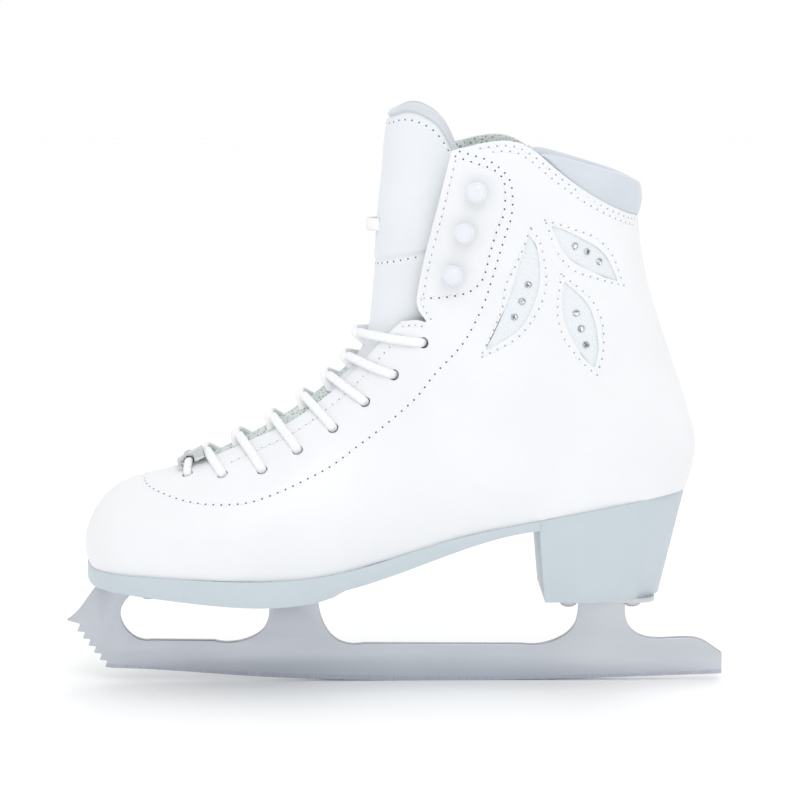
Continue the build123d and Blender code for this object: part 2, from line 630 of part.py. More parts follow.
def lace_tag():
    """Curved plate that rides on the lowest lace bar, held by two open loops clear of the leather."""
    tilt = 28
    bar = (EYELETS[0][0], BAR_Z)
    gap = 0.45
    radius = LACE / 2 + gap
    curve_radius = 32.0
    arc_plate = Cylinder(curve_radius, 13.0) - Cylinder(curve_radius - 1.4, 14.0)
    arc_plate = Pos(0, 0, -curve_radius) * Rot(0, 90, 0) * arc_plate
    arc_plate &= Box(12.2, 25.0, 12.0)
    plate = Pos(bar[0], 0, bar[1] + radius + 1.0) * Rot(0, -tilt, 0) * arc_plate
    tag = plate
    for y in (-4.5, 4.5):
        ring = Cylinder(radius + 1.1, 2.0) - Cylinder(radius, 3.0)
        tag += Pos(bar[0], y, bar[1]) * Rot(90, 0, 0) * ring
    tag -= Pos(bar[0], 0, bar[1]) * Rot(90, 0, 0) * Cylinder(radius, 40)
    for y in (-12.5, 12.5):
        tag -= Pos(bar[0], y, bar[1]) * Rot(90, 0, 0) * Cylinder(radius + 1.2, 12)
    return tag - boot_volume(0.4)


# ---------------------------------------------------------------- make every piece


def main():
    os.makedirs("parts", exist_ok=True)
    outer_volume = boot_volume(0.0)
    spots = {
        kind: {side: [surface_spot(outer_volume, x, z, side) for x, z in places] for side in (-1, 1)}
        for kind, places in (("eyelets", EYELETS), ("hooks", HOOKS))
    }
    insert_face = boot_volume(-INSERT_DEPTH)
    leather_inside = boot_volume(-LEATHER)
    layers_inside = boot_volume(-LEATHER - INTERLINING)
    lining_inside = boot_volume(-LEATHER - INTERLINING - LINING)
    print("volumes made")

    save("blade_runner", runner())
    save("front_plate", front_plate())
    save("heel_plate", heel_plate())
    save("front_plate_screws", screw_set(FRONT_SCREWS, True))
    save("heel_plate_screws", screw_set(HEEL_SCREWS, False))
    save("sole_unit", sole_unit())
    save("shank", shank())
    save("insole_board", leather_inside & above_feather(INSOLE_BOARD, 0.0))
    save("footbed", lining_inside & above_feather(FOOTBED, INSOLE_BOARD))
    print("underside made")

    upper(outer_volume, leather_inside, insert_face, layers_inside, lining_inside, spots)
    save("collar_pad", collar(boot_volume(1.6, SHAFT_SECTION), boot_volume(-8.0, SHAFT_SECTION)))
    crystals = []
    for places in CRYSTALS:
        for x, z in places:
            crystals.append(place_on(surface_spot(insert_face, x, z, -1), crystal_solid()))
    save("crystals", [solid for crystal in crystals for solid in crystal.solids()])
    print("upper made")

    for side, name in ((-1, "lateral"), (1, "medial")):
        rings = [place_on(spot, eyelet_solid()) for spot in spots["eyelets"][side]]
        save(f"eyelets_{name}", [solid for ring in rings for solid in ring.solids()])
        bodies = [place_on(spot, hook_body()) for spot in spots["hooks"][side]]
        save(f"hooks_{name}", [solid for body in bodies for solid in body.solids()])
        caps = [place_on(spot, hook_cap()) for spot in spots["hooks"][side]]
        save(f"hook_caps_{name}", [solid for cap in caps for solid in cap.solids()])

    save("tongue_lower", lower_tongue(boot_volume(-5.2, THROAT_SECTION), boot_volume(-9.0, THROAT_SECTION)))
    save("tongue_face", tongue_shell(0.0, 1.4))
    save("tongue_pad", tongue_shell(1.4 + LAYER_GAP, 6.2 - LAYER_GAP))
    save("tongue_lining", tongue_shell(6.2, 7.2))
    save("lace_keeper", lace_keeper())
    print("tongue made")

    over = [index % 2 == 0 for index in range(len(EYELETS) - 1)]
    first = lace_strand(spots, -1, over)
    second = lace_strand(spots, 1, [not flag for flag in over])
    save("lace_strand_1", cord_tube("lace_strand_1", first))
    save("lace_strand_2", cord_tube("lace_strand_2", second))
    save("lace_bar", cord_tube("lace_bar", lowest_bar(spots)))
    save("lace_tag", lace_tag())
    for side, name in ((-1, "lateral"), (1, "medial")):
        save(f"lace_tail_{name}", cord_tube(f"lace_tail_{name}", tail_route(side)))
        save(f"lace_hank_{name}", hank_solid(side))
    save("aglets", [aglet_solid(side).solid() for side in (-1, 1)])


main()
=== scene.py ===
import math

import bmesh
import bpy
import numpy as np
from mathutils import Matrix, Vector
from mathutils.bvhtree import BVHTree


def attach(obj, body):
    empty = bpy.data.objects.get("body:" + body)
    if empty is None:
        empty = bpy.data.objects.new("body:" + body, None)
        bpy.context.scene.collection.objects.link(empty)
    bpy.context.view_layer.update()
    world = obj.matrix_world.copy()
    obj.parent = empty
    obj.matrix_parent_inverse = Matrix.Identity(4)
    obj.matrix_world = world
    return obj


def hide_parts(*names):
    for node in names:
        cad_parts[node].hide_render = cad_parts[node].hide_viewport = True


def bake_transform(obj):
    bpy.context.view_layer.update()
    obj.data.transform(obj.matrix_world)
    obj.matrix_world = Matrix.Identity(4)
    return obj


# A women's figure skate for the left foot. X runs from toe (-) to heel (+), the outer side is -Y, Z is up.
# Shapes are written in millimetres, as in the CAD part, and scaled to metres when a mesh is made.

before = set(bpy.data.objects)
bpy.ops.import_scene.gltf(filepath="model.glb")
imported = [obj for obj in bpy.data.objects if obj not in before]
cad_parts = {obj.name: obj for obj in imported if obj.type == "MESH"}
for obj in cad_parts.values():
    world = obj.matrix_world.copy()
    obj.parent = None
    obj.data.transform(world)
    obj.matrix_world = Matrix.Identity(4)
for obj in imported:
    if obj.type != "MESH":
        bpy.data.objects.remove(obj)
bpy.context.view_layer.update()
MM = 0.001

# ---------------------------------------------------------------- the boot's shape, as in the CAD part

TOE_X = -135.8
TOE_BLEND_X = -100.0
LEATHER = 2.0
LOWEST_X = 37.0
ROCKER_RADIUS = 2134.0
EDGE_BAND = 1.7
SECTIONS = [
    ((TOE_X, 57.0), (TOE_X, 69.0), 9.0, 11.0, 0.50, 2.0, 2.0, 2.0),
    ((-133.0, 51.0), (-133.0, 76.2), 19.5, 22.0, 0.50, 2.0, 2.1, 2.1),
    ((-127.0, 42.0), (-127.0, 84.3), 29.0, 31.5, 0.55, 2.2, 2.3, 2.4),
    ((-117.0, 35.0), (-117.0, 90.4), 36.5, 39.0, 0.58, 2.2, 2.3, 2.5),
    ((-100.0, 31.0), (-100.0, 94.6), 42.5, 44.5, 0.58, 1.9, 2.1, 2.5),
    ((-85.0, 30.0), (-85.0, 100.0), 45.5, 46.8, 0.55, 1.7, 1.9, 2.5),
    ((-70.0, 29.0), (-70.0, 107.8), 47.0, 47.0, 0.53, 1.6, 1.8, 2.5),
    ((-38.0, 29.0), (-50.0, 118.8), 45.0, 42.5, 0.52, 1.6, 1.8, 2.4),
    ((0.0, 34.0), (-33.0, 131.0), 39.0, 37.0, 0.50, 1.6, 1.85, 2.0),
    ((45.0, 44.0), (-20.0, 143.0), 36.0, 35.0, 0.48, 1.75, 2.1, 2.0),
    ((88.0, 54.0), (-13.5, 154.5), 35.0, 34.5, 0.44, 2.1, 2.6, 2.2),
    ((119.0, 70.0), (-11.0, 165.0), 35.0, 35.0, 0.40, 2.3, 2.9, 2.2),
    ((132.0, 101.0), (-9.0, 175.0), 35.0, 35.0, 0.42, 2.4, 3.0, 2.1),
    ((128.7, 122.5), (-7.8, 186.0), 34.8, 34.8, 0.45, 2.4, 2.9, 2.1),
    ((119.5, 150.0), (-7.4, 200.0), 36.0, 36.0, 0.47, 2.4, 2.6, 2.1),
    ((110.5, 178.0), (-6.2, 215.0), 38.5, 38.5, 0.48, 2.4, 2.5, 2.2),
    ((106.2, 203.0), (-4.5, 230.0), 40.5, 40.5, 0.50, 2.4, 2.5, 2.3),
    ((106.0, 226.0), (-3.2, 246.0), 41.5, 41.5, 0.50, 2.4, 2.4, 2.3),
    ((106.5, 250.0), (-2.0, 266.0), 41.5, 41.5, 0.50, 2.4, 2.4, 2.3),
]
LAST_SECTION = len(SECTIONS) - 1
BACK_X = 140.0
FEATHER_LINE = [
    (-150.0, 54.3), (-124.0, 53.7), (-90.0, 53.1), (-52.0, 52.2), (-33.0, 53.4), (-19.0, 55.7), (2.0, 61.5),
    (27.0, 69.1), (47.0, 73.4), (76.0, 78.8), (111.0, 84.7), (BACK_X, 88.0),
]
CUFF_LINE = [
    (105.9, 206.9), (96.0, 210.6), (82.3, 218.0), (69.0, 227.6), (59.6, 235.4), (50.0, 240.2), (37.8, 239.8),
    (23.4, 236.4),
]
FLAP_FRONT = [(23.4, 236.4), (18.6, 216.3), (11.5, 187.2), (8.7, 171.5)]
FLAP_STEP = [(8.7, 171.5), (9.9, 167.2), (12.9, 162.6), (8.0, 163.2), (2.7, 162.4)]
THROAT_EDGE = [
    (2.7, 162.4), (-4.2, 155.6), (-20.2, 137.4), (-32.8, 126.6), (-47.1, 116.9), (-64.1, 109.0),
    (-78.0, 102.6), (-87.0, 99.2),
]
EYELETS = [
    (-90.5, 94.9), (-74.9, 96.2), (-57.7, 98.9), (-42.5, 107.0), (-27.1, 116.1), (-13.3, 127.3),
    (-0.9, 139.3), (11.7, 153.5),
]
CROSSINGS = [
    (-80.5, 102.6), (-66.5, 109.6), (-51.5, 118.0), (-38.0, 127.4), (-27.0, 136.5), (-18.5, 145.5),
    (-13.6, 156.5),
]
HOOKS = [(25.1, 183.4), (29.6, 201.8), (34.3, 219.2)]
LEAVES = [
    [(56.6, 200.7), (52.2, 187.0), (47.0, 170.4), (37.4, 150.0), (53.2, 160.5), (60.8, 177.6), (60.2, 193.6)],
    [(65.4, 205.0), (75.6, 200.8), (88.7, 192.6), (95.9, 179.7), (86.0, 183.6), (73.0, 191.2)],
    [(71.5, 181.0), (71.5, 165.3), (78.8, 149.9), (85.4, 142.6), (86.8, 153.6), (82.8, 169.4)],
]
LEAF_TURNS = [3, 3, 3]


# ---------------------------------------------------------------- curves and outlines


def smooth_rows(rows, u):
    """Catmull-Rom values of a table's columns at places u, counted in rows."""
    rows = np.asarray(rows, float)
    first = 2 * rows[0] - rows[1]
    last = 2 * rows[-1] - rows[-2]
    padded = np.vstack([first, rows, last])
    u = np.clip(np.asarray(u, float), 0, len(rows) - 1)
    index = np.minimum(u.astype(int), len(rows) - 2)
    t = (u - index)[..., None]
    a, b, c, d = (padded[index + step] for step in range(4))
    slope = c - a
    bend = 2 * a - 5 * b + 4 * c - d
    twist = 3 * b - a - 3 * c + d
    return 0.5 * (2 * b + slope * t + bend * t ** 2 + twist * t ** 3)


def dense(points, per_span=12):
    """A smooth polyline through points."""
    count = (len(points) - 1) * per_span + 1
    return smooth_rows(points, np.linspace(0, len(points) - 1, count))


def lengths_along(line):
    """The length travelled along a polyline at each of its points."""
    return np.concatenate([[0], np.cumsum(np.linalg.norm(np.diff(line, axis=0), axis=1))])


def points_along(line, wanted):
    """Points of a polyline at the wanted lengths along it."""
    lengths = lengths_along(line)
    return np.stack([np.interp(wanted, lengths, line[:, axis]) for axis in range(line.shape[1])], axis=1)


def even(points, step):
    """A smooth polyline through points, at even steps of length."""
    line = dense(points, 40)
    total = lengths_along(line)[-1]
    count = max(2, int(round(total / step)) + 1)
    return points_along(line, np.linspace(0, total, count))


def side_distance(places, outline):
    """Distance of X-Z places from a closed outline, positive inside it."""
    starts = np.asarray(outline, float)
    ends = np.roll(starts, -1, axis=0)
    result = np.empty(len(places))
    for begin in range(0, len(places), 4000):
        p = places[begin:begin + 4000, None, :]
        run = ends - starts
        share = ((p - starts) * run).sum(-1) / np.maximum((run ** 2).sum(-1), 1e-12)
        nearest = starts + np.clip(share, 0, 1)[..., None] * run
        distance = np.linalg.norm(p - nearest, axis=-1).min(axis=1)
        straddles = (starts[:, 1] > p[..., 1]) != (ends[:, 1] > p[..., 1])
        rise = np.where(run[:, 1] == 0, 1e-9, run[:, 1])
        cross_x = starts[:, 0] + (p[..., 1] - starts[:, 1]) * run[:, 0] / rise
        inside = (straddles & (p[..., 0] < cross_x)).sum(axis=1) % 2 == 1
        result[begin:begin + 4000] = np.where(inside, distance, -distance)
    return result


def upper_outline(raise_bottom=0.0):
    """Side view of the upper, as one closed outline."""
    feather = dense(FEATHER_LINE) + (0, raise_bottom)
    back = [(BACK_X, CUFF_LINE[0][1])]
    roof = [(THROAT_EDGE[-1][0], 140.0), (FEATHER_LINE[0][0], 140.0)]
    front = [dense(line)[1:] for line in (FLAP_FRONT, FLAP_STEP, THROAT_EDGE)]
    return np.vstack([feather, back, dense(CUFF_LINE), *front, roof])


def leaf_outline(points, turn):
    """A leaf's closed outline: one edge from tip to tip, then the other."""
    one = dense(points[:turn + 1])
    other = dense(points[turn:] + points[:1])
    return np.vstack([one, other[1:-1]])


def boot_points(u, angle, grow=0.0):
    """Points of the boot's surface in millimetres. u counts fan sections, angle runs from the crest."""
    table = [(low[0], low[1], high[0], high[1], *rest) for low, high, *rest in SECTIONS]
    columns = np.moveaxis(smooth_rows(table, u), -1, 0)
    low_x, low_z, high_x, high_z, outer, inner, widest, crest, shoulder, base = columns
    length = np.hypot(high_x - low_x, high_z - low_z)
    half = np.where(np.sin(angle) < 0, outer, inner) + grow
    cosine = np.abs(np.cos(angle))
    sine = np.abs(np.sin(angle))
    top = np.cos(angle) >= 0
    upward = ((1 - widest) * length + grow) * cosine ** (2 / shoulder)
    downward = -(widest * length + grow) * cosine ** (2 / base)
    rise = np.where(top, upward, downward)
    side = half * sine ** (2 / np.where(top, crest, base))
    reach = (widest * length + rise) / length
    lean = np.clip((TOE_BLEND_X - low_x) / (TOE_BLEND_X - TOE_X), 0, None)
    x = low_x + (high_x - low_x) * reach - grow * lean
    z = low_z + (high_z - low_z) * reach
    return np.stack([x, side * np.sign(np.sin(angle)), z], axis=-1)


# ---------------------------------------------------------------- mesh helpers


def make_object(name, vertices, faces, materials):
    """A mesh object from millimetre vertices."""
    mesh = bpy.data.meshes.new(name)
    mesh.from_pydata((np.asarray(vertices, float) * MM).tolist(), [], faces)
    mesh.validate()
    for face in mesh.polygons:
        face.use_smooth = True
    for material in materials if isinstance(materials, (list, tuple)) else [materials]:
        mesh.materials.append(material)
    thing = bpy.data.objects.new(name, mesh)
    bpy.context.scene.collection.objects.link(thing)
    return thing


def grid_faces(rows, columns, wrap_columns=False):
    """Quads of a grid whose vertices run column by column within each row."""
    faces = []
    for row in range(rows - 1):
        next_row = row + 1
        for column in range(columns if wrap_columns else columns - 1):
            next_column = (column + 1) % columns
            faces.append((
                row * columns + column, row * columns + next_column,
                next_row * columns + next_column, next_row * columns + column,
            ))
    return faces


def clip(bm, values):
    """Cuts a mesh along the zero line of a value per vertex, and keeps where it is positive."""
    near = 0.12
    level = {v: (0.0 if abs(values[v.index]) < near else values[v.index]) for v in bm.verts}
    for edge in list(bm.edges):
        a, b = edge.verts
        if level[a] * level[b] < 0:
            _, middle = bmesh.utils.edge_split(edge, a, level[a] / (level[a] - level[b]))
            level[middle] = 0.0
    for face in list(bm.faces):
        marks = [level[v] for v in face.verts]
        if min(marks) < 0 < max(marks):
            zeros = [v for v in face.verts if level[v] == 0]
            if len(zeros) == 2:
                bmesh.utils.face_split(face, zeros[0], zeros[1])
    gone = [face for face in bm.faces if min(level[v] for v in face.verts) < 0]
    bmesh.ops.delete(bm, geom=gone, context="FACES")
    bm.verts.index_update()


def field_of(bm, outline):
    """Distance of each vertex of a mesh from an X-Z outline, positive inside it."""
    places = np.array([(v.co.x, v.co.z) for v in bm.verts]) / MM
    bm.verts.index_update()
    return side_distance(places, outline)


def face_outward(thing, merge=False):
    """Turns every face of a closed mesh outward, after joining vertices in one place if asked."""
    bm = bmesh.new()
    bm.from_mesh(thing.data)
    if merge:
        bmesh.ops.remove_doubles(bm, verts=bm.verts, dist=1e-6)
    bmesh.ops.recalc_face_normals(bm, faces=bm.faces)
    bm.to_mesh(thing.data)
    bm.free()


def apply_modifiers(thing):
    """Turns an object's modifiers into its mesh."""
    graph = bpy.context.evaluated_depsgraph_get()
    mesh = bpy.data.meshes.new_from_object(thing.evaluated_get(graph))
    thing.modifiers.clear()
    thing.data = mesh


def bevel(thing, width, segments=2, angle=40):
    """Adds a rounding of the sharp edges, width in millimetres."""
    modifier = thing.modifiers.new("edges", "BEVEL")
    modifier.width = width * MM
    modifier.segments = segments
    modifier.limit_method = "ANGLE"
    modifier.angle_limit = math.radians(angle)
    modifier.harden_normals = False


# ---------------------------------------------------------------- materials


class Nodes:
    """Short ways to add nodes to a material."""

    def __init__(self, name, colour, roughness, metallic=0.0):
        self.material = bpy.data.materials.new(name)
        self.material.use_nodes = True
        self.tree = self.material.node_tree
        self.shader = self.tree.nodes["Principled BSDF"]
        self.shader.inputs["Base Color"].default_value = (*colour, 1)
        self.shader.inputs["Roughness"].default_value = roughness
        self.shader.inputs["Metallic"].default_value = metallic
        self.place = self.add("ShaderNodeTexCoord").outputs["Object"]
        self.height = None

    def add(self, kind, **values):
        node = self.tree.nodes.new(kind)
        for key, value in values.items():
            if key in node.inputs:
                node.inputs[key].default_value = value
            else:
                setattr(node, key, value)
        return node

    def link(self, output, target):
        self.tree.links.new(output, target)

    def noise(self, scale, detail=3.0, stretch=None):
        node = self.add("ShaderNodeTexNoise", Scale=scale, Detail=detail)
        self.link(self.stretched(stretch), node.inputs["Vector"])
        return node.outputs["Fac"]

    def stretched(self, stretch):
        if stretch is None:
            return self.place
        mapping = self.add("ShaderNodeMapping")
        mapping.inputs["Scale"].default_value = stretch
        self.link(self.place, mapping.inputs["Vector"])
        return mapping.outputs["Vector"]

    def cells(self, scale, feature="F1", stretch=None):
        node = self.add("ShaderNodeTexVoronoi", Scale=scale)
        node.feature = feature
        self.link(self.stretched(stretch), node.inputs["Vector"])
        return node.outputs["Distance"]

    def spread(self, value, low, high):
        node = self.add("ShaderNodeMapRange")
        node.inputs["To Min"].default_value = low
        node.inputs["To Max"].default_value = high
        self.link(value, node.inputs["Value"])
        return node.outputs["Result"]

    def colours(self, value, stops):
        node = self.add("ShaderNodeValToRGB")
        ramp = node.color_ramp
        while len(ramp.elements) < len(stops):
            ramp.elements.new(0.5)
        for element, (position, colour) in zip(ramp.elements, stops):
            element.position = position
            element.color = (*colour, 1)
        self.link(value, node.inputs["Fac"])
        self.link(node.outputs["Color"], self.shader.inputs["Base Color"])
        return node.outputs["Color"]

    def math(self, operation, first, second):
        node = self.add("ShaderNodeMath", operation=operation)
        for value, socket in ((first, node.inputs[0]), (second, node.inputs[1])):
            if isinstance(value, (int, float)):
                socket.default_value = value
            else:
                self.link(value, socket)
        return node.outputs["Value"]

    def mix_colours(self, share, first, second):
        """The base colour goes from one colour to another as share goes from 0 to 1."""
        node = self.add("ShaderNodeMix", data_type="RGBA")
        self.link(share, node.inputs["Factor"])
        self.link(first, node.inputs[6])
        self.link(second, node.inputs[7])
        self.link(node.outputs[2], self.shader.inputs["Base Color"])

    def rough(self, value, low, high):
        self.link(self.spread(value, low, high), self.shader.inputs["Roughness"])

    def bump(self, value, distance, strength=1.0):
        node = self.add("ShaderNodeBump", Strength=strength, Distance=distance * MM)
        self.link(value, node.inputs["Height"])
        if self.height is not None:
            self.link(self.height, node.inputs["Normal"])
        self.height = node.outputs["Normal"]
        self.link(self.height, self.shader.inputs["Normal"])


def leather_material(name, tint):
    """Coated leather: fine pebbled grain, faint broad unevenness in colour and gloss."""
    nodes = Nodes(name, tint, 0.42)
    broad = nodes.noise(22, 2)
    darker = tuple(channel * 0.965 for channel in tint)
    nodes.colours(broad, [(0.35, darker), (0.65, tint)])
    nodes.rough(nodes.noise(60, 4), 0.34, 0.50)
    nodes.bump(nodes.cells(900), 0.035, 0.5)
    nodes.bump(nodes.noise(2600, 4), 0.02, 0.5)
    nodes.bump(nodes.noise(45, 2), 0.25, 0.35)
    nodes.shader.inputs["Coat Weight"].default_value = 0.12
    nodes.shader.inputs["Coat Roughness"].default_value = 0.3
    return nodes.material


def knit_material(name, dark, light, scale=620):
    """Open knit mesh: small dark cells in a paler yarn."""
    nodes = Nodes(name, light, 0.85)
    cell = nodes.cells(scale, "DISTANCE_TO_EDGE")
    nodes.colours(cell, [(0.02, light), (0.12, light), (0.35, dark)])
    nodes.bump(cell, 0.25, 0.8)
    nodes.bump(nodes.noise(3000, 3), 0.05, 0.6)
    nodes.shader.inputs["Sheen Weight"].default_value = 0.3
    return nodes.material


def cloth_material(name, tint):
    """Soft synthetic cloth over foam."""
    nodes = Nodes(name, tint, 0.72)
    nodes.colours(nodes.noise(35, 3), [(0.3, tuple(c * 0.94 for c in tint)), (0.7, tint)])
    nodes.bump(nodes.noise(1800, 4), 0.05, 0.6)
    nodes.bump(nodes.noise(120, 2), 0.3, 0.25)
    nodes.shader.inputs["Sheen Weight"].default_value = 0.25
    return nodes.material


def lace_material():
    """Braided cotton and polyester lace."""
    nodes = Nodes("lace_white", (0.85, 0.86, 0.87), 0.78)
    nodes.colours(nodes.noise(700, 3), [(0.3, (0.80, 0.812, 0.83)), (0.7, (0.87, 0.878, 0.89))])
    nodes.bump(nodes.noise(3800, 3), 0.05, 0.7)
    nodes.shader.inputs["Sheen Weight"].default_value = 0.2
    return nodes.material


def sole_material():
    """Moulded polyurethane, light grey blue, satin."""
    tint = (0.52, 0.583, 0.627)
    nodes = Nodes("sole_polyurethane", tint, 0.45)
    nodes.colours(nodes.noise(30, 3), [(0.3, (0.50, 0.563, 0.607)), (0.7, tint)])
    nodes.rough(nodes.noise(90, 4), 0.38, 0.55)
    nodes.bump(nodes.noise(1500, 4), 0.03, 0.5)
    nodes.bump(nodes.noise(60, 2), 0.15, 0.2)
    return nodes.material


def steel_material():
    """Blade steel: fine lengthwise brushing, and a narrow band of upright grinding marks by the edge."""
    nodes = Nodes("blade_steel", (0.50, 0.52, 0.56), 0.3, 1.0)
    along = nodes.noise(60, 4, (1.0, 8.0, 60.0))
    upright = nodes.noise(70, 4, (40.0, 8.0, 1.0))
    broad = nodes.noise(9, 2)
    place = nodes.add("ShaderNodeSeparateXYZ")
    nodes.link(nodes.place, place.inputs["Vector"])
    away = nodes.math("SUBTRACT", place.outputs["X"], LOWEST_X * MM)
    squared = nodes.math("MULTIPLY", away, away)
    rise = nodes.math("MULTIPLY", squared, 1 / (2 * ROCKER_RADIUS * MM))
    height = nodes.math("SUBTRACT", place.outputs["Z"], rise)
    band = nodes.add("ShaderNodeMapRange", interpolation_type="SMOOTHSTEP")
    band.inputs["From Min"].default_value = EDGE_BAND * MM
    band.inputs["From Max"].default_value = (EDGE_BAND + 0.4) * MM
    band.inputs["To Min"].default_value = 1.0
    band.inputs["To Max"].default_value = 0.0
    nodes.link(height, band.inputs["Value"])
    body = nodes.colours(broad, [(0.3, (0.46, 0.49, 0.54)), (0.7, (0.60, 0.625, 0.665))])
    ground = nodes.colours(upright, [(0.3, (0.40, 0.42, 0.50)), (0.7, (0.56, 0.58, 0.64))])
    nodes.mix_colours(band.outputs["Result"], body, ground)
    nodes.rough(along, 0.24, 0.42)
    nodes.bump(along, 0.02, 0.35)
    return nodes.material


def metal_material(name, tint, low, high, scale=400):
    nodes = Nodes(name, tint, low, 1.0)
    nodes.rough(nodes.noise(scale, 4), low, high)
    nodes.colours(nodes.noise(120, 3), [(0.3, tuple(c * 0.93 for c in tint)), (0.7, tint)])
    nodes.bump(nodes.noise(scale * 3, 3), 0.01, 0.3)
    return nodes.material


def enamel_material():
    """White pearly enamel of the hooks."""
    nodes = Nodes("hook_enamel", (0.73, 0.75, 0.80), 0.25)
    nodes.colours(nodes.noise(300, 3), [(0.3, (0.71, 0.735, 0.79)), (0.7, (0.75, 0.77, 0.81))])
    nodes.rough(nodes.noise(500, 3), 0.16, 0.30)
    nodes.bump(nodes.noise(900, 2), 0.01, 0.3)
    nodes.shader.inputs["Coat Weight"].default_value = 0.4
    return nodes.material


def glitter_material():
    """Pale sheet with fine glitter under a clear film."""
    nodes = Nodes("glitter_sheet", (0.70, 0.73, 0.75), 0.35)
    speck = nodes.cells(2600)
    stops = [(0.1, (0.81, 0.835, 0.86)), (0.35, (0.755, 0.785, 0.815)), (0.8, (0.70, 0.735, 0.77))]
    nodes.colours(speck, stops)
    nodes.rough(nodes.cells(1500), 0.15, 0.55)
    nodes.bump(nodes.cells(1900), 0.03, 0.5)
    nodes.shader.inputs["Metallic"].default_value = 0.15
    nodes.shader.inputs["Coat Weight"].default_value = 0.3
    nodes.shader.inputs["Coat Roughness"].default_value = 0.1
    return nodes.material


def crystal_painted_glints_material():
    """Foil-backed cut crystal with painted reflections: each facet gets its own brightness, from dark to
    white, picked at random by the way it faces.
    """
    nodes = Nodes("crystal_cut_painted_glints", (0.92, 0.95, 1.0), 0.05, 0.85)
    facet_painted_glint = nodes.add("ShaderNodeTexWhiteNoise")
    nodes.link(nodes.add("ShaderNodeNewGeometry").outputs["True Normal"], facet_painted_glint.inputs["Vector"])
    # Painted glints and dark facets, one colour per facing direction.
    stops = [(0.1, (0.10, 0.12, 0.15)), (0.5, (0.55, 0.60, 0.66)), (0.9, (1.0, 1.0, 1.0))]
    nodes.colours(facet_painted_glint.outputs["Value"], stops)
    nodes.rough(nodes.noise(900, 2), 0.02, 0.08)
    nodes.shader.inputs["Coat Weight"].default_value = 1.0
    return nodes.material


def board_material(name, tint):
    nodes = Nodes(name, tint, 0.9)
    nodes.colours(nodes.noise(250, 5), [(0.3, tuple(c * 0.8 for c in tint)), (0.7, tint)])
    nodes.bump(nodes.noise(900, 4), 0.1, 0.6)
    return nodes.material


def hole_shadow_material(name, dark, light):
    """Painted shadow: the dark colour of a disc laid over a needle hole, standing for its shaded inside."""
    nodes = Nodes(name, dark, 0.9)
    nodes.colours(nodes.noise(2000, 2), [(0.3, dark), (0.7, light)])
    return nodes.material


WHITE_LEATHER = leather_material("white_leather", (0.80, 0.815, 0.835))
TONGUE_LEATHER = leather_material("tongue_leather", (0.755, 0.785, 0.825))
FLESH_LEATHER = board_material("leather_flesh_side", (0.80, 0.79, 0.77))
KNIT = knit_material("knit_lining", (0.22, 0.28, 0.27), (0.60, 0.66, 0.64))
COLLAR_CLOTH = cloth_material("collar_cloth", (0.60, 0.645, 0.70))
TONGUE_CLOTH = cloth_material("tongue_cloth", (0.62, 0.655, 0.70))
LACE = lace_material()
SOLE = sole_material()
STEEL = steel_material()
PLATE_STEEL = metal_material("plate_steel", (0.60, 0.61, 0.63), 0.28, 0.42)
POLISHED = metal_material("polished_steel", (0.22, 0.23, 0.25), 0.12, 0.2)
CHROME = metal_material("chrome", (0.60, 0.62, 0.63), 0.04, 0.10)
ENAMEL = enamel_material()
GLITTER = glitter_material()
CRYSTAL_PAINTED_GLINTS = crystal_painted_glints_material()
BOARD = board_material("fibre_board", (0.55, 0.45, 0.33))
FOAM = board_material("foam", (0.85, 0.84, 0.78))
HOLE_SHADOW = hole_shadow_material("painted_hole_shadow", (0.05, 0.07, 0.10), (0.13, 0.16, 0.21))
PALE_HOLE_SHADOW = hole_shadow_material("pale_painted_hole_shadow", (0.30, 0.34, 0.40), (0.44, 0.48, 0.54))
THREAD = lace_material()
EYELET = metal_material("eyelet_metal", (0.22, 0.23, 0.25), 0.25, 0.4)
TONGUE_KNIT = cloth_material("tongue_back", (0.50, 0.54, 0.59))
FOOTBED_KNIT = knit_material("footbed_cloth", (0.50, 0.53, 0.54), (0.75, 0.77, 0.78), 900)
AGLET = enamel_material()

# ---------------------------------------------------------------- free lace tails

TAIL_DIAMETER = 3.4
HANK_START = 54.0
HANK_END = 114.0
HANK_CENTRE = (84.0, 11.0, 94.4)
HANK_SLOPE = math.radians(9.5)
HANK_TURNS = 3
HANK_LOOP = 7.1
LAYER = 3.55


def hank_place(along, across, up, side):
    """A point of a hank, from its own centre, with its length along the footbed's slope."""
    x = HANK_CENTRE[0] + along * math.cos(HANK_SLOPE) - up * math.sin(HANK_SLOPE)
    z = HANK_CENTRE[2] + along * math.sin(HANK_SLOPE) + up * math.cos(HANK_SLOPE)
    return (x, side * (HANK_CENTRE[1] + across), z)


def tail_points(side):
    """From the top eyelet down inside the boot, along the footbed, round the hank and into the aglet."""
    route = [
        (15.0, side * 17.5, 149.0), (18.0, side * 18.5, 134.0), (20.0, side * 20.5, 114.0),
        (28.0, side * 21.5, 96.0), (41.0, side * 19.5, 87.0), (54.0, side * 17.5, 86.2),
    ]
    reach = (HANK_END - HANK_START - TAIL_DIAMETER) / 2 - HANK_LOOP
    steps = []
    for end in (1, -1):
        for turn in (90, 45, 0, -45, -90):
            angle = math.radians(turn)
            steps.append((end * (reach + HANK_LOOP * math.cos(angle)), end * HANK_LOOP * math.sin(angle)))
    count = len(steps) * HANK_TURNS
    for index in range(count):
        along, across = steps[index % len(steps)]
        up = (index / (count - 1) - 0.5) * LAYER * (HANK_TURNS - 1)
        route.append(hank_place(along, across, up, side))
    last = [(-18.0, 6.5, 5.6), (-4.0, 1.0, 7.2), (6.0, 0.0, 7.6)]
    return route + [hank_place(*place, side) for place in last]


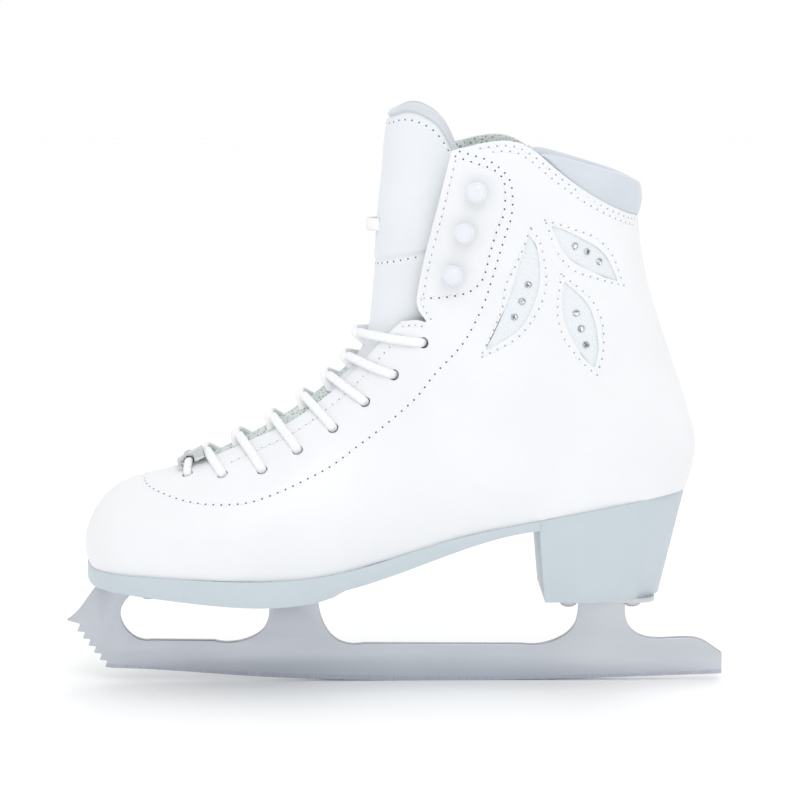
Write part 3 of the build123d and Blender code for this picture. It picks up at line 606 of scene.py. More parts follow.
def make_tail(side, name):
    data = bpy.data.curves.new("lace_end_" + name, "CURVE")
    data.dimensions = "3D"
    data.bevel_depth = TAIL_DIAMETER / 2 * MM
    data.bevel_resolution = 4
    data.resolution_u = 8
    spline = data.splines.new("NURBS")
    points = tail_points(side)
    spline.points.add(len(points) - 1)
    for target, point in zip(spline.points, points):
        target.co = (*(value * MM for value in point), 1)
    spline.order_u = 3
    spline.use_endpoint_u = True
    data.materials.append(LACE)
    tail = bpy.data.objects.new("lace_end_" + name, data)
    bpy.context.scene.collection.objects.link(tail)
    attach(tail, "root")
    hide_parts("lace_tail_" + name, "lace_hank_" + name)
    return tail


# ---------------------------------------------------------------- camera, lights and floor

CAMERA_DISTANCE = 1.40
CAMERA_ELEVATION = math.radians(7.0)
CAMERA_TURN = math.radians(1.0)
AIM = Vector((0.0022, 0.0, 0.1253))


def make_camera():
    data = bpy.data.cameras.new("camera")
    data.lens = 143.2
    data.sensor_width = 36
    camera = bpy.data.objects.new("camera", data)
    bpy.context.scene.collection.objects.link(camera)
    flat = math.cos(CAMERA_ELEVATION) * CAMERA_DISTANCE
    rise = math.sin(CAMERA_ELEVATION) * CAMERA_DISTANCE
    camera.location = AIM + Vector((-math.sin(CAMERA_TURN) * flat, -math.cos(CAMERA_TURN) * flat, rise))
    camera.rotation_euler = (AIM - camera.location).to_track_quat("-Z", "Y").to_euler()
    bpy.context.scene.camera = camera


def make_light(name, location, size, power):
    data = bpy.data.lights.new(name, "AREA")
    data.shape = "RECTANGLE"
    data.size, data.size_y = size
    data.energy = power
    light = bpy.data.objects.new(name, data)
    light.location = location
    light.rotation_euler = (AIM - light.location).to_track_quat("-Z", "Y").to_euler()
    bpy.context.scene.collection.objects.link(light)


def make_stage():
    bpy.context.scene.view_settings.view_transform = "Standard"
    world = bpy.data.worlds.new("studio")
    world.use_nodes = True
    world.node_tree.nodes["Background"].inputs["Color"].default_value = (1.0, 1.0, 1.0, 1)
    world.node_tree.nodes["Background"].inputs["Strength"].default_value = 1.0
    bpy.context.scene.world = world
    make_light("key", (0.2, -1.3, 1.35), (0.8, 0.8), 5.5)
    make_light("fill", (-1.1, -1.0, 1.3), (1.0, 1.0), 0.8)
    make_light("back", (0.4, 1.4, 1.3), (1.4, 0.8), 3)
    nodes = Nodes("floor", (1.0, 1.0, 1.0), 0.6)
    nodes.rough(nodes.noise(3, 2), 0.55, 0.65)
    reach = 6000.0
    corners = [(-reach, -reach, 0), (reach, -reach, 0), (reach, reach, 0), (-reach, reach, 0)]
    floor = make_object("floor", corners, [(0, 1, 2, 3)], nodes.material)


make_camera()
make_stage()
tails = {name: make_tail(side, name) for side, name in ((-1, "lateral"), (1, "medial"))}

# ---------------------------------------------------------------- stitch rows, in X and Z, on both sides

EYESTAY_ROW = [
    (-110.1, 92.2), (-108.0, 90.7), (-102.6, 88.7), (-92.6, 86.3), (-84.0, 85.2), (-73.7, 85.2),
    (-62.5, 86.5), (-50.5, 90.5), (-39.5, 95.3), (-28.4, 100.8), (-17.2, 108.8), (-6.1, 117.1), (7.9, 129.3),
    (16.7, 140.3), (27.3, 151.9), (32.5, 160.3), (37.8, 171.8), (41.1, 182.4), (46.2, 200.1), (48.5, 207.2),
    (49.3, 214.4), (48.4, 223.0), (44.8, 228.2), (39.3, 232.2), (34.1, 234.0), (26.9, 236.1),
]
PATCH_ROW = [
    (25.0, 234.0), (32.0, 231.6), (40.0, 229.0), (44.6, 225.4), (46.1, 220.2), (45.6, 209.9), (42.8, 202.8),
    (39.8, 192.2), (36.9, 181.5), (30.7, 175.7), (20.2, 173.3), (11.8, 172.8),
]
STITCH_GAP = 3.6
HOLE_RADIUS = 0.42
THREAD_RADIUS = 0.42


def shifted(points, distance):
    """A polyline moved sideways in the X-Z plane; positive is to the left of its direction."""
    line = dense(points, 10)
    run = np.gradient(line, axis=0)
    run /= np.linalg.norm(run, axis=1)[:, None]
    return line + distance * np.stack([-run[:, 1], run[:, 0]], axis=1)


def rows_for(side):
    """Every stitch row of one side of the upper; the first two get the darker painted shadows at their needle
    holes.
    """
    top = CUFF_LINE[::-1]
    rows = [EYESTAY_ROW, PATCH_ROW]
    rows += [shifted(top, -1.9)[8:-2], shifted(top, -4.2)[12:-2]]
    rows += [shifted(FLAP_FRONT, 2.6)[2:], shifted(THROAT_EDGE, 4.2)[6:-14]]
    rows += [shifted([FLAP_STEP[0], FLAP_STEP[1], FLAP_STEP[2]], 2.4)]
    rows += [shifted(FLAP_STEP[2:], 2.2)[3:]]
    if side < 0:
        for points, turn in zip(LEAVES, LEAF_TURNS):
            outline = leaf_outline(points, turn)
            middle = outline.mean(axis=0)
            away = outline - middle
            rows.append(outline + away / np.linalg.norm(away, axis=1)[:, None] * 3.0)
    return rows


# ---------------------------------------------------------------- the outer leather

EYELET_HOLE = 2.6
LINING_GAP = 1.4
ROWS = 330
COLUMNS = 280


def boot_grid(grow, rows, columns):
    """The boot surface as an open tube of quads, with a cap at the toe."""
    u = np.linspace(0.0, LAST_SECTION, rows)[:, None]
    angle = -(2 * math.pi * np.arange(columns) / columns)[None, :] + 1e-4
    points = boot_points(u + 0 * angle, angle + 0 * u, grow).reshape(-1, 3)
    faces = grid_faces(rows, columns, wrap_columns=True)
    faces.append(tuple(range(columns))[::-1])
    return points, faces


def tree_of(thing):
    """A search tree of an object's finished mesh."""
    places = [v.co.copy() for v in thing.data.vertices]
    return BVHTree.FromPolygons(places, [tuple(face.vertices) for face in thing.data.polygons])


def surface_tree():
    points, faces = boot_grid(0.0, 220, 160)
    return BVHTree.FromPolygons((points * MM).tolist(), faces)


SURFACE = surface_tree()


def on_side(x, z, side, tree):
    """The outer surface at X and Z on one side (-1 outer, 1 inner), in millimetres, and its normal."""
    for drop in range(14):
        start = Vector((x * MM, side * 0.1, (z - 0.3 * drop) * MM))
        point, normal, _, _ = tree.ray_cast(start, Vector((0, -side, 0)))
        if point is not None:
            if normal.y * side < 0:
                normal = -normal
            return np.array(point) / MM, np.array(normal)
    return None


def nearest(point, tree):
    """The surface's nearest point to a point in millimetres, and the normal there, away from the foot."""
    found, normal, _, _ = tree.find_nearest(Vector(point) * MM)
    if normal.y * point[1] + normal.z * 2 < 0:
        normal = -normal
    return np.array(found) / MM, np.array(normal)


def panel_outline():
    """The eyestay panel, which is laid over the vamp and quarters, 1.6 mm larger than its stitch row."""
    row = dense(EYESTAY_ROW)
    return np.vstack([row, [(20.0, 300.0), (-115.0, 300.0)]])


def shape_leather(points):
    """Raises the overlaid panels and sinks the seams of the leather's grid."""
    normals_from = boot_points_normals(points)
    lift = np.zeros(len(points))
    places = points[:, [0, 2]]
    inside = side_distance(places, panel_outline()) + 1.7
    lift += 0.45 * np.clip(inside / 1.2, 0, 1)
    for side in (-1, 1):
        here = points[:, 1] * side > 0
        for row in rows_for(side):
            line = np.asarray(row, float)
            line = line if len(line) > 40 else dense(line)
            gap = np.full(len(points), 99.0)
            near = here & (places[:, 0] > line[:, 0].min() - 4) & (places[:, 0] < line[:, 0].max() + 4)
            picked = np.flatnonzero(near)
            for begin in range(0, len(picked), 4000):
                block = picked[begin:begin + 4000]
                away = np.linalg.norm(places[block, None, :] - line[None, :, :], axis=-1)
                gap[block] = away.min(axis=1)
            lift -= 0.32 * np.exp(-(gap / 1.0) ** 2)
    return points + normals_from * lift[:, None]


def boot_points_normals(points):
    """Unit normals of the boot surface at its own grid points."""
    normals = np.empty_like(points)
    for index, point in enumerate(points):
        _, normal, _, _ = SURFACE.find_nearest(Vector(point) * MM)
        outward = Vector((0.0, point[1], 0.3 * (point[2] - 60)))
        normals[index] = normal if normal.dot(outward) >= 0 else -normal
    return normals


def make_leather():
    """The outer leather, cut at the sole, throat, flaps and cuff, with the leaf cut-outs and eyelet holes."""
    points, faces = boot_grid(0.0, ROWS, COLUMNS)
    leather = make_object("upper_leather", shape_leather(points), faces, [WHITE_LEATHER])
    bm = bmesh.new()
    bm.from_mesh(leather.data)
    clip(bm, field_of(bm, upper_outline()))
    for points_of_leaf, turn in zip(LEAVES, LEAF_TURNS):
        away = -field_of(bm, leaf_outline(points_of_leaf, turn))
        sides = np.array([v.co.y for v in bm.verts])
        clip(bm, np.where(sides < 0, away, 10.0))
    for side in (-1, 1):
        for x, z in EYELETS:
            spot, _ = on_side(x, z, side, SURFACE)
            clip(bm, np.linalg.norm(np.array([v.co for v in bm.verts]) / MM - spot, axis=1) - EYELET_HOLE)
    bmesh.ops.recalc_face_normals(bm, faces=bm.faces)
    bm.to_mesh(leather.data)
    bm.free()
    solid = leather.modifiers.new("thickness", "SOLIDIFY")
    solid.thickness = LEATHER * MM
    solid.offset = -1
    solid.use_quality_normals = True
    bevel(leather, 0.4)
    apply_modifiers(leather)
    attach(leather, "root")
    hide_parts("upper_shell")
    return leather


leather = make_leather()
LEATHER_TREE = tree_of(leather)


def make_lining():
    """The knit lining that shows inside the cuff and throat."""
    points, faces = boot_grid(-LEATHER - LINING_GAP, 160, 120)
    lining = make_object("knit_lining", points, faces, [KNIT])
    bm = bmesh.new()
    bm.from_mesh(lining.data)
    clip(bm, field_of(bm, upper_outline(2.5)) - 0.4)
    bmesh.ops.recalc_face_normals(bm, faces=bm.faces)
    bm.to_mesh(lining.data)
    bm.free()
    solid = lining.modifiers.new("thickness", "SOLIDIFY")
    solid.thickness = 1.2 * MM
    solid.offset = -1
    apply_modifiers(lining)
    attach(lining, "root")
    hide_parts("lining")


make_lining()

# ---------------------------------------------------------------- stitching


def stitch_mesh(spots):
    """Vertices, faces and face materials of a row; spots are the needle holes' (point, normal) in order."""
    vertices, faces, marks = [], [], []
    for (here, normal), (there, _) in zip(spots, spots[1:]):
        run = there - here
        length = np.linalg.norm(run)
        run = run / length
        side = np.cross(normal, run)
        start = here + run * HOLE_RADIUS * 0.7
        reach = length - HOLE_RADIUS * 1.4
        first = len(vertices)
        for ring in range(7):
            share = ring / 6
            radius = THREAD_RADIUS * math.sqrt(max(0.04, 1 - (2 * share - 1) ** 4))
            height = 0.26 * math.sin(math.pi * share) - 0.12
            for corner in range(8):
                angle = 2 * math.pi * corner / 8
                vertices.append(
                    start + run * reach * share + side * radius * math.cos(angle)
                    + normal * (height + radius * 0.6 * math.sin(angle))
                )
        faces += [tuple(first + index for index in face) for face in grid_faces(7, 8, wrap_columns=True)]
        faces += [tuple(range(first + 7, first - 1, -1)), tuple(range(first + 48, first + 56))]
        marks += [0] * (len(faces) - len(marks))
    # A flat dark disc over each needle hole: painted shadow of the hole.
    for here, normal in spots:
        across = np.cross(normal, (0.3, 0.1, 0.9))
        across /= np.linalg.norm(across)
        other = np.cross(normal, across)
        first = len(vertices)
        vertices.append(here + normal * 0.10)
        for corner in range(10):
            angle = 2 * math.pi * corner / 10
            away = across * math.cos(angle) + other * math.sin(angle)
            vertices.append(here + away * HOLE_RADIUS + normal * 0.04)
        faces += [(first, first + 1 + corner, first + 1 + (corner + 1) % 10) for corner in range(10)]
        marks += [1] * 10
    return vertices, faces, marks


def even_spots(line, tree, side, gap):
    """Spots at even steps along an X-Z line laid on the surface."""
    hits = [on_side(x, z, side, tree) for x, z in line]
    points = np.array([hit[0] for hit in hits if hit is not None])
    if len(points) < 3:
        return []
    total = lengths_along(points)[-1]
    count = max(3, int(round(total / gap)) + 1)
    return [nearest(point, tree) for point in points_along(points, np.linspace(0, total, count))]


def make_stitches():
    """Thread and painted needle-hole shadows of every row on both sides of the upper."""
    vertices, faces, marks = [], [], []
    for side in (-1, 1):
        for row in rows_for(side):
            line = np.asarray(row, float)
            line = line if len(line) > 40 else dense(line, 10)
            spots = even_spots(line, LEATHER_TREE, side, STITCH_GAP)
            more, some, kinds = stitch_mesh(spots)
            # Rows past the first two get the paler painted shadow at their needle holes.
            if row is not EYESTAY_ROW and row is not PATCH_ROW:
                kinds = [2 * kind for kind in kinds]
            faces += [tuple(len(vertices) + index for index in face) for face in some]
            marks += kinds
            vertices += more
    stitches = make_object("upper_stitching", vertices, faces, [THREAD, HOLE_SHADOW, PALE_HOLE_SHADOW])
    for face, mark in zip(stitches.data.polygons, marks):
        face.material_index = mark
    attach(stitches, "root")


make_stitches()

# ---------------------------------------------------------------- laces

BAR_Z = 99.6
LACE_HALF_WIDTH = 2.0
LACE_HALF_THICKNESS = 1.2
BRAID_PITCH = 1.5


def sweep_lace(points, axes, half_width, half_thickness):
    """A flat braided lace along points, with its width along the given axes."""
    line = even(points, 0.42)
    share = np.linspace(0, 1, len(line))
    known = lengths_along(points)
    wide = np.stack([np.interp(share, known / known[-1], axes[:, axis]) for axis in range(3)], axis=1)
    for _ in range(6):
        line[1:-1] = (line[:-2] + 2 * line[1:-1] + line[2:]) / 4
    run = np.gradient(line, axis=0)
    run /= np.linalg.norm(run, axis=1)[:, None]
    wide -= (wide * run).sum(1)[:, None] * run
    wide /= np.linalg.norm(wide, axis=1)[:, None]
    thick = np.cross(run, wide)
    travelled = lengths_along(line)
    sides = 28
    angle = 2 * math.pi * np.arange(sides) / sides
    plait = np.abs(np.mod(angle, math.pi) - math.pi / 2)
    wave = np.sin(2 * math.pi * travelled[:, None] / BRAID_PITCH + 4.0 * plait[None, :])
    swell = 1 + 0.055 * wave
    power = 0.86
    across = np.sign(np.cos(angle)) * np.abs(np.cos(angle)) ** power * half_width
    up = np.sign(np.sin(angle)) * np.abs(np.sin(angle)) ** power * half_thickness
    rings = line[:, None, :] + swell[..., None] * (
        wide[:, None, :] * across[None, :, None] + thick[:, None, :] * up[None, :, None]
    )
    faces = grid_faces(len(line), sides, wrap_columns=True)
    faces += [tuple(range(sides))[::-1], tuple(range((len(line) - 1) * sides, len(line) * sides))]
    return rings.reshape(-1, 3), faces


def laid(start, end, share, lift):
    """A point part of the way between two points, moved to the boot's surface and lifted off it."""
    spot, normal = nearest(start + (end - start) * share, SURFACE)
    return spot + normal * lift


def throat_run(index):
    """The direction up the throat, and straight out of it, at one crossing."""
    before = np.array(CROSSINGS[max(index - 1, 0)])
    after = np.array(CROSSINGS[min(index + 1, len(CROSSINGS) - 1)])
    run = (after - before) / np.linalg.norm(after - before)
    return np.array([run[0], 0.0, run[1]]), np.array([-run[1], 0.0, run[0]])


def make_strand(name, start_side, over, node):
    """A strand: out under one flap, over the throat and the other flap, and down into the next eyelet up."""
    spots = {side: [on_side(x, z, side, SURFACE) for x, z in EYELETS] for side in (-1, 1)}
    points, axes = [], []
    side = start_side
    for index in range(len(EYELETS) - 1):
        here, normal = spots[side][index]
        there, next_normal = spots[-side][index + 1]
        run, out = throat_run(index)
        centre = np.array([CROSSINGS[index][0], 0.0, CROSSINGS[index][1]]) - run * 2.2
        crest = centre + out * (1.5 + (2.3 if over[index] else 0.0))
        legs = [
            here - normal * 6.2,
            laid(here, centre, 0.40, -6.1),
            laid(here, centre, 0.72, -3.6),
            crest,
            laid(centre, there, 0.34, 2.7),
            laid(centre, there, 0.62, 1.5),
            laid(centre, there, 0.88, 1.35),
            there + (centre - there) / np.linalg.norm(centre - there) * 0.7 + next_normal * 0.2,
            there - next_normal * 2.6,
        ]
        points += legs
        axes += [run] * len(legs)
        side = -side
    last, normal = spots[side][-1]
    points.append(last - normal * 6.6)
    axes.append(axes[-1])
    vertices, faces = sweep_lace(np.array(points), np.array(axes), LACE_HALF_WIDTH, LACE_HALF_THICKNESS)
    strand = make_object(name, vertices, faces, [LACE])
    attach(strand, "root")
    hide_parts(node)


def make_bar():
    """The lowest bar: up out of the two lowest eyelets and straight across the end of the throat."""
    spots = [on_side(*EYELETS[0], side, SURFACE) for side in (-1, 1)]
    x = EYELETS[0][0]
    points = []
    for spot, normal in spots:
        centre = np.array([x, spot[1] * 0.4, BAR_Z])
        toward = (centre - spot) / np.linalg.norm(centre - spot)
        leg = [spot - normal * 6.0, spot - normal * 2.2, spot + toward * 0.9 + normal * 0.6]
        leg.append(laid(spot, centre, 0.35, 1.5))
        leg += [np.array([x, math.copysign(y, spot[1]), z]) for y, z in ((11.0, 99.3), (5.5, BAR_Z))]
        points.append(leg)
    points = points[0] + points[1][::-1]
    axes = np.tile([0.95, 0.0, 0.3], (len(points), 1))
    vertices, faces = sweep_lace(np.array(points), axes, 1.75, 1.3)
    bar = make_object("lowest_lace_bar", vertices, faces, [LACE])
    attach(bar, "root")
    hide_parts("lace_bar")


OVER = [index % 2 == 0 for index in range(len(EYELETS) - 1)]
make_strand("lace_strand_a", -1, OVER, "lace_strand_1")
make_strand("lace_strand_b", 1, [not flag for flag in OVER], "lace_strand_2")
make_bar()

# ---------------------------------------------------------------- eyelets and hook caps

TURNED_SIDES = 40


def lathe(profile, count):
    """Vertices and faces of a ring of quads turned from (radius, height) points."""
    profile = np.asarray(profile, float)
    angle = 2 * math.pi * np.arange(count) / count
    radius, height = profile[:, :1], np.repeat(profile[:, 1:], count, axis=1)
    rings = np.stack([radius * np.cos(angle), radius * np.sin(angle), height], axis=-1)
    return rings.reshape(-1, 3), grid_faces(len(profile), count, wrap_columns=True)


def placed(vertices, spot, normal):
    """Vertices built up their own Z axis, stood on a surface spot."""
    first = np.cross((0.0, 1.0, 0.0), normal)
    first /= np.linalg.norm(first)
    second = np.cross(normal, first)
    return spot + vertices[:, :1] * first + vertices[:, 1:2] * second + vertices[:, 2:] * normal


def make_turned(name, profile, places, side, materials, node, inner_rows=0):
    """Copies of a turned shape on one side of the boot; its first rows may have the second material."""
    shape, ring = lathe(profile, TURNED_SIDES)
    vertices, faces = [], []
    for x, z in places:
        spot, normal = on_side(x, z, side, SURFACE)
        faces += [tuple(len(vertices) + index for index in face) for face in ring]
        vertices += list(placed(shape, spot, normal))
    thing = make_object(name, vertices, faces, materials)
    for index, face in enumerate(thing.data.polygons):
        if index % len(ring) < inner_rows * TURNED_SIDES:
            face.material_index = 1
    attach(thing, "root")
    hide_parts(node)


EYELET_PROFILE = [
    (2.25, -3.6), (2.25, -0.4), (2.4, 0.15), (2.7, 0.42), (3.05, 0.42), (3.3, 0.25), (3.35, 0.0),
    (2.75, -0.1), (2.7, -3.6), (2.25, -3.6),
]
CAP_PROFILE = [
    (0.0, 4.2), (3.9, 4.2), (4.5, 4.4), (4.75, 4.8), (4.7, 5.3), (4.3, 5.7), (3.9, 5.95), (3.7, 6.5),
    (3.3, 6.9), (2.4, 7.15), (1.2, 7.3), (0.0, 7.35),
]
for side, name in ((-1, "lateral"), (1, "medial")):
    make_turned(
        "eyelet_rings_" + name, EYELET_PROFILE, EYELETS, side, [ENAMEL, EYELET], "eyelets_" + name,
        1,
    )
    make_turned("hook_domes_" + name, CAP_PROFILE, HOOKS, side, [ENAMEL], "hook_caps_" + name)

# ---------------------------------------------------------------- the tongue

TONGUE_FRONT = [
    (130.0, -31.0, 15.5, 20.0), (136.5, -23.5, 16.0, 22.0), (145.5, -15.8, 17.0, 25.0),
    (156.5, -11.4, 18.4, 28.0), (166.2, -9.8, 19.8, 30.0), (176.0, -8.6, 20.4, 31.0),
    (190.0, -7.4, 22.4, 33.0), (212.0, -6.2, 24.6, 35.0), (232.0, -3.8, 25.6, 36.0),
    (262.0, -2.4, 26.0, 36.0),
]
TONGUE_TOP = [
    (-14.0, 250.6), (-1.3, 254.2), (4.0, 256.0), (10.0, 255.2), (18.0, 250.5), (24.0, 242.0), (30.0, 229.0),
    (36.0, 213.0),
]
TONGUE_HALF = 3.4
ROLL_WIDTH = 3.8
TONGUE_SEAM_Z = 186.0
TONGUE_STITCH_GAP = 3.4


def tongue_front(z):
    """The X of the tongue's face, its half width and how far back it wraps, at a height."""
    table = dense(TONGUE_FRONT, 10)
    return tuple(np.interp(z, table[:, 0], table[:, column]) for column in (1, 2, 3))


def tongue_sheet(across, up, depth):
    """A point of the tongue at depth under its face; across runs from -1 to 1 and up from 0 to 1."""
    theta = math.pi / 2 * across
    top_x = -2.6 + 36.0 * (1 - np.cos(theta))
    top_line = dense(TONGUE_TOP, 10)
    top_z = np.interp(top_x, top_line[:, 0], top_line[:, 1])
    z = TONGUE_FRONT[0][0] + up * (top_z - TONGUE_FRONT[0][0])
    front, half, wrap = tongue_front(z)
    x = front + wrap - (wrap - depth) * np.cos(theta)
    y = (half - depth) * np.sin(theta)
    rim = np.minimum(wrap * (math.pi / 2 - np.abs(theta)), (top_z - z) * 0.9)
    return np.stack([x, y, z], axis=-1), rim


def tongue_height(rim, place, outer):
    """How far the tongue's face or back stands from its middle, at a distance from the rim."""
    round_off = np.clip(rim / TONGUE_HALF, 0, 1)
    height = TONGUE_HALF * np.sqrt(np.clip(1 - (1 - round_off) ** 2, 0, 1))
    if outer:
        height += 0.5 * np.exp(-((rim - 3.0) / 1.6) ** 2)
        height -= 1.0 * np.exp(-((rim - ROLL_WIDTH) / 0.7) ** 2)
        height += 0.9 * np.clip((rim - ROLL_WIDTH) / 14, 0, 1) ** 0.7
        height -= 0.25 * np.exp(-((rim - ROLL_WIDTH - 2.6) / 0.9) ** 2)
        seam = place[..., 2] - TONGUE_SEAM_Z - 0.25 * (place[..., 0] + 6)
        inside = np.clip((rim - ROLL_WIDTH) / 1.5, 0, 1)
        height += inside * (0.55 * np.clip((seam - 1.2) / 0.8, 0, 1) - 0.35 * np.exp(-(seam / 1.0) ** 2))
        height += inside * 0.25 * np.sin(place[..., 2] / 9 + place[..., 1] / 6)
    return height


def tongue_side(outer, across, up):
    middle = TONGUE_HALF
    place, rim = tongue_sheet(across, up, middle)
    height = tongue_height(rim, place, outer)
    depth = middle - height if outer else middle + height
    moved, _ = tongue_sheet(across, up, depth)
    return moved, rim


def make_tongue():
    """The padded tongue above the laces: leather face, soft rolled edge and knit back, in one piece."""
    columns, rows = 150, 190
    across = np.sin(np.linspace(-math.pi / 2, math.pi / 2, columns))[None, :] * 0.999
    up = 1 - (1 - np.linspace(0, 1, rows))[:, None] ** 1.5
    face, rim = tongue_side(True, across, up)
    back, _ = tongue_side(False, across, up)
    vertices = np.vstack([face.reshape(-1, 3), back.reshape(-1, 3)])
    front_faces = grid_faces(rows, columns)
    back_faces = [tuple(index + rows * columns for index in quad[::-1]) for quad in front_faces]
    count = rows * columns
    rim_faces = []
    for row in range(rows - 1):
        for column in (0, columns - 1):
            a, b = row * columns + column, (row + 1) * columns + column
            quad = (a, b, b + count, a + count)
            rim_faces.append(quad if column == 0 else quad[::-1])
    for column in range(columns - 1):
        a, b = (rows - 1) * columns + column, (rows - 1) * columns + column + 1
        rim_faces.append((a, b, b + count, a + count))
        rim_faces.append((column + 1, column, column + count, column + 1 + count))
    faces = front_faces + back_faces + rim_faces
    tongue = make_object("tongue_padded", vertices, faces, [TONGUE_LEATHER, TONGUE_CLOTH, TONGUE_KNIT])
    flat_rim = rim.reshape(-1)
    for polygon, quad in zip(tongue.data.polygons, faces):
        if min(quad) >= count:
            polygon.material_index = 2
        elif max(quad) >= count or flat_rim[list(quad)].mean() < ROLL_WIDTH:
            polygon.material_index = 1
    face_outward(tongue, merge=True)
    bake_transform(tongue)
    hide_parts("tongue_face", "tongue_pad", "tongue_lining")
    return tongue


tongue = make_tongue()
TONGUE_TREE = tree_of(tongue)


def make_tongue_stitches():
    """Rows round the tongue's leather face and along its seam."""
    vertices, faces, marks = [], [], []
    rows = []
    rim_row = []
    for across in np.linspace(-0.97, 0.97, 200):
        theta = math.pi / 2 * across
        for up in np.linspace(0.99, 0.3, 300):
            place, rim = tongue_sheet(np.array(across), np.array(up), 0.0)
            if rim > ROLL_WIDTH + 2.6:
                rim_row.append(place)
                break
    rows.append(np.array(rim_row))
    seam_row = []
    for across in np.linspace(-0.66, 0.66, 60):
        low, high = 0.0, 1.0
        for _ in range(24):
            middle = (low + high) / 2
            place, _ = tongue_sheet(np.array(across), np.array(middle), 0.0)
            if place[2] < TONGUE_SEAM_Z + 0.25 * (place[0] + 6):
                low = middle
            else:
                high = middle
        seam_row.append(place)
    rows.append(np.array(seam_row))
    for row in rows:
        total = lengths_along(row)[-1]
        spots = []
        for point in points_along(row, np.linspace(0, total, int(total / TONGUE_STITCH_GAP))):
            found, normal, _, _ = TONGUE_TREE.find_nearest(Vector(point) * MM)
            if normal.x > 0:
                normal = -normal
            spots.append((np.array(found) / MM, np.array(normal)))
        more, some, kinds = stitch_mesh(spots)
        faces += [tuple(len(vertices) + index for index in face) for face in some]
        marks += kinds
        vertices += more
    # The second material is the painted shadow over each needle hole.
    stitches = make_object("tongue_stitching", vertices, faces, [THREAD, HOLE_SHADOW])
    for face, mark in zip(stitches.data.polygons, marks):
        face.material_index = mark
    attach(stitches, "tongue")


make_tongue_stitches()


def make_throat_mesh():
    """The knit lower half of the tongue, which shows between the laces, with its centre seam."""
    rows, columns = 150, 60
    u = np.linspace(4.6, 9.2, rows)[:, None]
    edge = np.radians(38.0)
    angle = np.linspace(-1.0, 1.0, columns)[None, :]
    angle = angle * edge
    depth = 0.3 + 6.2 * (angle / edge) ** 2 + 0.8 * np.exp(-(angle * 50) ** 2)
    top = boot_points(u + 0 * angle, angle + 0 * u, 0.0)
    low = boot_points(u + 0 * angle, angle + 0 * u, -9.0)
    share = (depth / 9.0)[..., None]
    face = top + (low - top) * share
    back = top + (low - top) * (share + 0.33)
    vertices = np.vstack([face.reshape(-1, 3), back.reshape(-1, 3)])
    front_faces = grid_faces(rows, columns)
    count = rows * columns
    back_faces = [tuple(index + count for index in quad[::-1]) for quad in front_faces]
    edge_faces = []
    for row in range(rows - 1):
        for column in (0, columns - 1):
            a, b = row * columns + column, (row + 1) * columns + column
            edge_faces.append((a, b, b + count, a + count))
    for column in range(columns - 1):
        for row in (0, rows - 1):
            a, b = row * columns + column, row * columns + column + 1
            edge_faces.append((a, b, b + count, a + count))
    lower = make_object("tongue_throat", vertices, front_faces + back_faces + edge_faces, [KNIT])
    face_outward(lower)
    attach(lower, "root")
    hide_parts("tongue_lower")


make_throat_mesh()


def make_keeper():
    """The lace keeper: a woven band that stands off the tongue's face as a loop."""
    z = 203.0
    front, half, wrap = tongue_front(z)
    vertices, faces = [], []
    half_loop = [(6.0, 0.2), (5.2, 1.8), (3.4, 3.2)]
    stations = dense([(-y, lift) for y, lift in half_loop] + [(0.0, 3.8)] + half_loop[::-1], 6)
    run = np.gradient(stations, axis=0)
    run /= np.linalg.norm(run, axis=1)[:, None]
    out = np.stack([-run[:, 1], run[:, 0]], axis=1)
    for (y, lift), (out_y, out_lift) in zip(stations, out):
        for up, thick in ((-2.7, 0.0), (-2.7, 0.9), (-2.2, 1.15), (2.2, 1.15), (2.7, 0.9), (2.7, 0.0)):
            across = y + out_y * thick
            away = lift + out_lift * thick
            surface_x = front + wrap - wrap * math.sqrt(1 - (across / half) ** 2)
            vertices.append((surface_x - 1.0 - away, across, z + up))
    faces = grid_faces(len(stations), 6, wrap_columns=True)
    keeper = make_object("lace_keeper_band", vertices, faces, [LACE])
    face_outward(keeper)
    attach(keeper, "tongue")
    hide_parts("lace_keeper")


make_keeper()

# ---------------------------------------------------------------- the padded collar

COLLAR_TOP = [(106.0, 222.6), (98.0, 226.2), (76.0, 232.4), (66.0, 234.6), (60.0, 234.2)]
COLLAR_FRONT_X = 61.0


def shaft_point(angle, z, grow):
    """The boot surface of the shaft at an angle and a height."""
    u = np.linspace(13, LAST_SECTION, 160)
    line = boot_points(u, np.full_like(u, angle), grow)
    return np.array([np.interp(z, line[:, 2], line[:, 0]), np.interp(z, line[:, 2], line[:, 1]), z])


def collar_ring(angle):
    """The collar's closed cross-section at one angle round the cuff."""
    cuff = dense(CUFF_LINE[::-1], 10)
    top = dense(COLLAR_TOP[::-1], 10)
    x = shaft_point(angle, 225.0, 0.0)[0]
    low = np.interp(x, cuff[:, 0], cuff[:, 1])
    high = max(low + 0.5, np.interp(x, top[:, 0], top[:, 1]))
    full = min(1.0, (high - low) / 9.0)
    crease = 0.9 * math.exp(-((x - 76) / 9.0) ** 4)
    loop = [
        (-3.0, low - 5.0), (-2.3, low - 0.8), (-1.6 + 1.9 * full, low + 0.8),
        (-1.6 + 3.5 * full, low + 0.42 * (high - low)), (-1.8 + 3.2 * full - crease, high - 3.4 * full),
        (-2.2 + 2.3 * full, high - 1.0 * full), (-3.2, high + 0.1), (-5.4, high - 0.4 * full),
        (-7.4, high - 3.0), (-8.0, high - 8.0), (-7.6, low - 9.0), (-6.2, low - 14.0), (-4.7, low - 16.0),
        (-4.2, low - 10.0),
    ]
    closed = smooth_rows(loop + loop[:1], np.linspace(0, len(loop), 56)[:-1])
    return [shaft_point(angle, z, grow) for grow, z in closed]


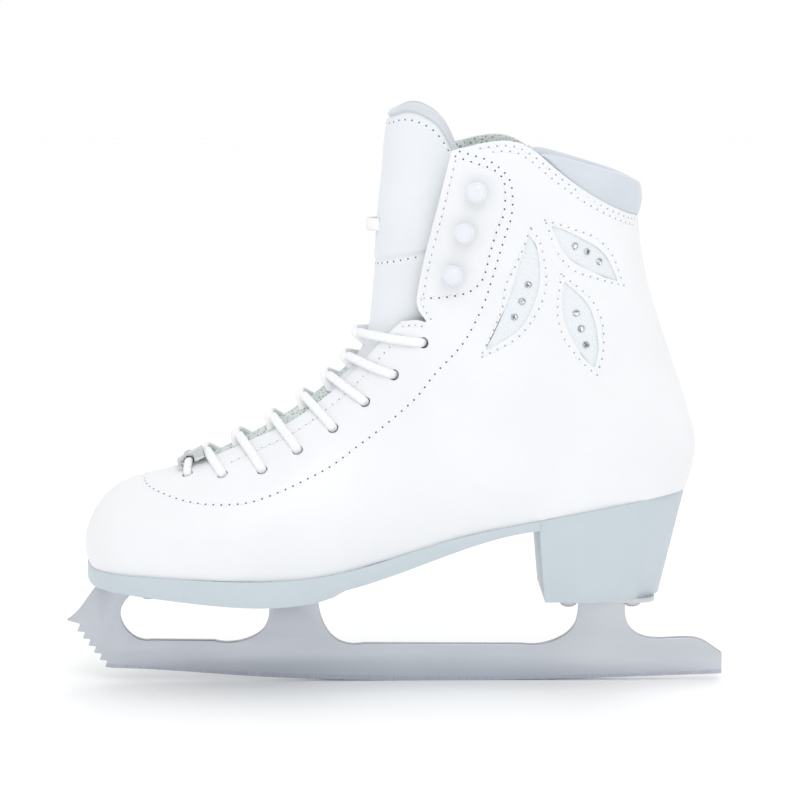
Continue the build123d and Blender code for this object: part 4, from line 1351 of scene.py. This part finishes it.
def make_collar():
    """The padded roll round the cuff."""
    angles = np.radians(np.linspace(40, 180, 120))
    xs = np.array([shaft_point(-angle, 236.0, 0.0)[0] for angle in angles])
    first = float(np.interp(COLLAR_FRONT_X, xs, angles))
    stations = np.linspace(first, 2 * math.pi - first, 150)
    vertices = []
    for angle in stations:
        vertices += collar_ring(-angle)
    faces = grid_faces(len(stations), 55, wrap_columns=True)
    faces += [tuple(range(55))[::-1], tuple(range(149 * 55, 150 * 55))]
    collar = make_object("collar_roll", vertices, faces, [COLLAR_CLOTH])
    face_outward(collar)
    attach(collar, "root")
    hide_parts("collar_pad")


make_collar()

# ---------------------------------------------------------------- hard parts, from their CAD meshes


def eased(node, name, material, width, body="root", angle=35):
    """A copy of a CAD node with its edges eased, standing for the node."""
    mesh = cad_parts[node].data.copy()
    thing = bpy.data.objects.new(name, mesh)
    bpy.context.scene.collection.objects.link(thing)
    bm = bmesh.new()
    bm.from_mesh(mesh)
    bmesh.ops.remove_doubles(bm, verts=bm.verts, dist=1e-6)
    bmesh.ops.dissolve_limit(bm, angle_limit=math.radians(0.6), verts=bm.verts, edges=bm.edges)
    bm.to_mesh(mesh)
    bm.free()
    mesh.materials.clear()
    mesh.materials.append(material)
    bevel(thing, width, 2, angle)
    apply_modifiers(thing)
    thing.data.shade_smooth()
    thing.data.set_sharp_from_angle(angle=math.radians(angle))
    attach(thing, body)
    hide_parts(node)
    return thing


blade = eased("blade_runner", "blade", STEEL, 0.25)
blade.data.materials.append(POLISHED)
for face in blade.data.polygons:
    if abs(face.normal.y) < 0.8 and face.center.z > 0.012:
        face.material_index = 1
eased("front_plate", "toe_mounting_plate", PLATE_STEEL, 0.3)
eased("heel_plate", "heel_mounting_plate", PLATE_STEEL, 0.3)
eased("sole_unit", "moulded_sole", SOLE, 0.8)
eased("lace_tag", "lace_tag_plate", CHROME, 0.2, "tag")


def paint(material, *names):
    for name in names:
        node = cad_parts[name]
        node.data.materials.clear()
        node.data.materials.append(material)


paint(PLATE_STEEL, "shank", "front_plate_screws", "heel_plate_screws")
paint(BOARD, "toe_puff", "heel_counter", "insole_board")
paint(FOAM, "ankle_padding")
paint(FLESH_LEATHER, "facing_lateral", "facing_medial")
paint(FOOTBED_KNIT, "footbed")
paint(GLITTER, "leaf_insert_1", "leaf_insert_2", "leaf_insert_3")
paint(CRYSTAL_PAINTED_GLINTS, "crystals")
paint(ENAMEL, "hooks_lateral", "hooks_medial")
paint(AGLET, "aglets")
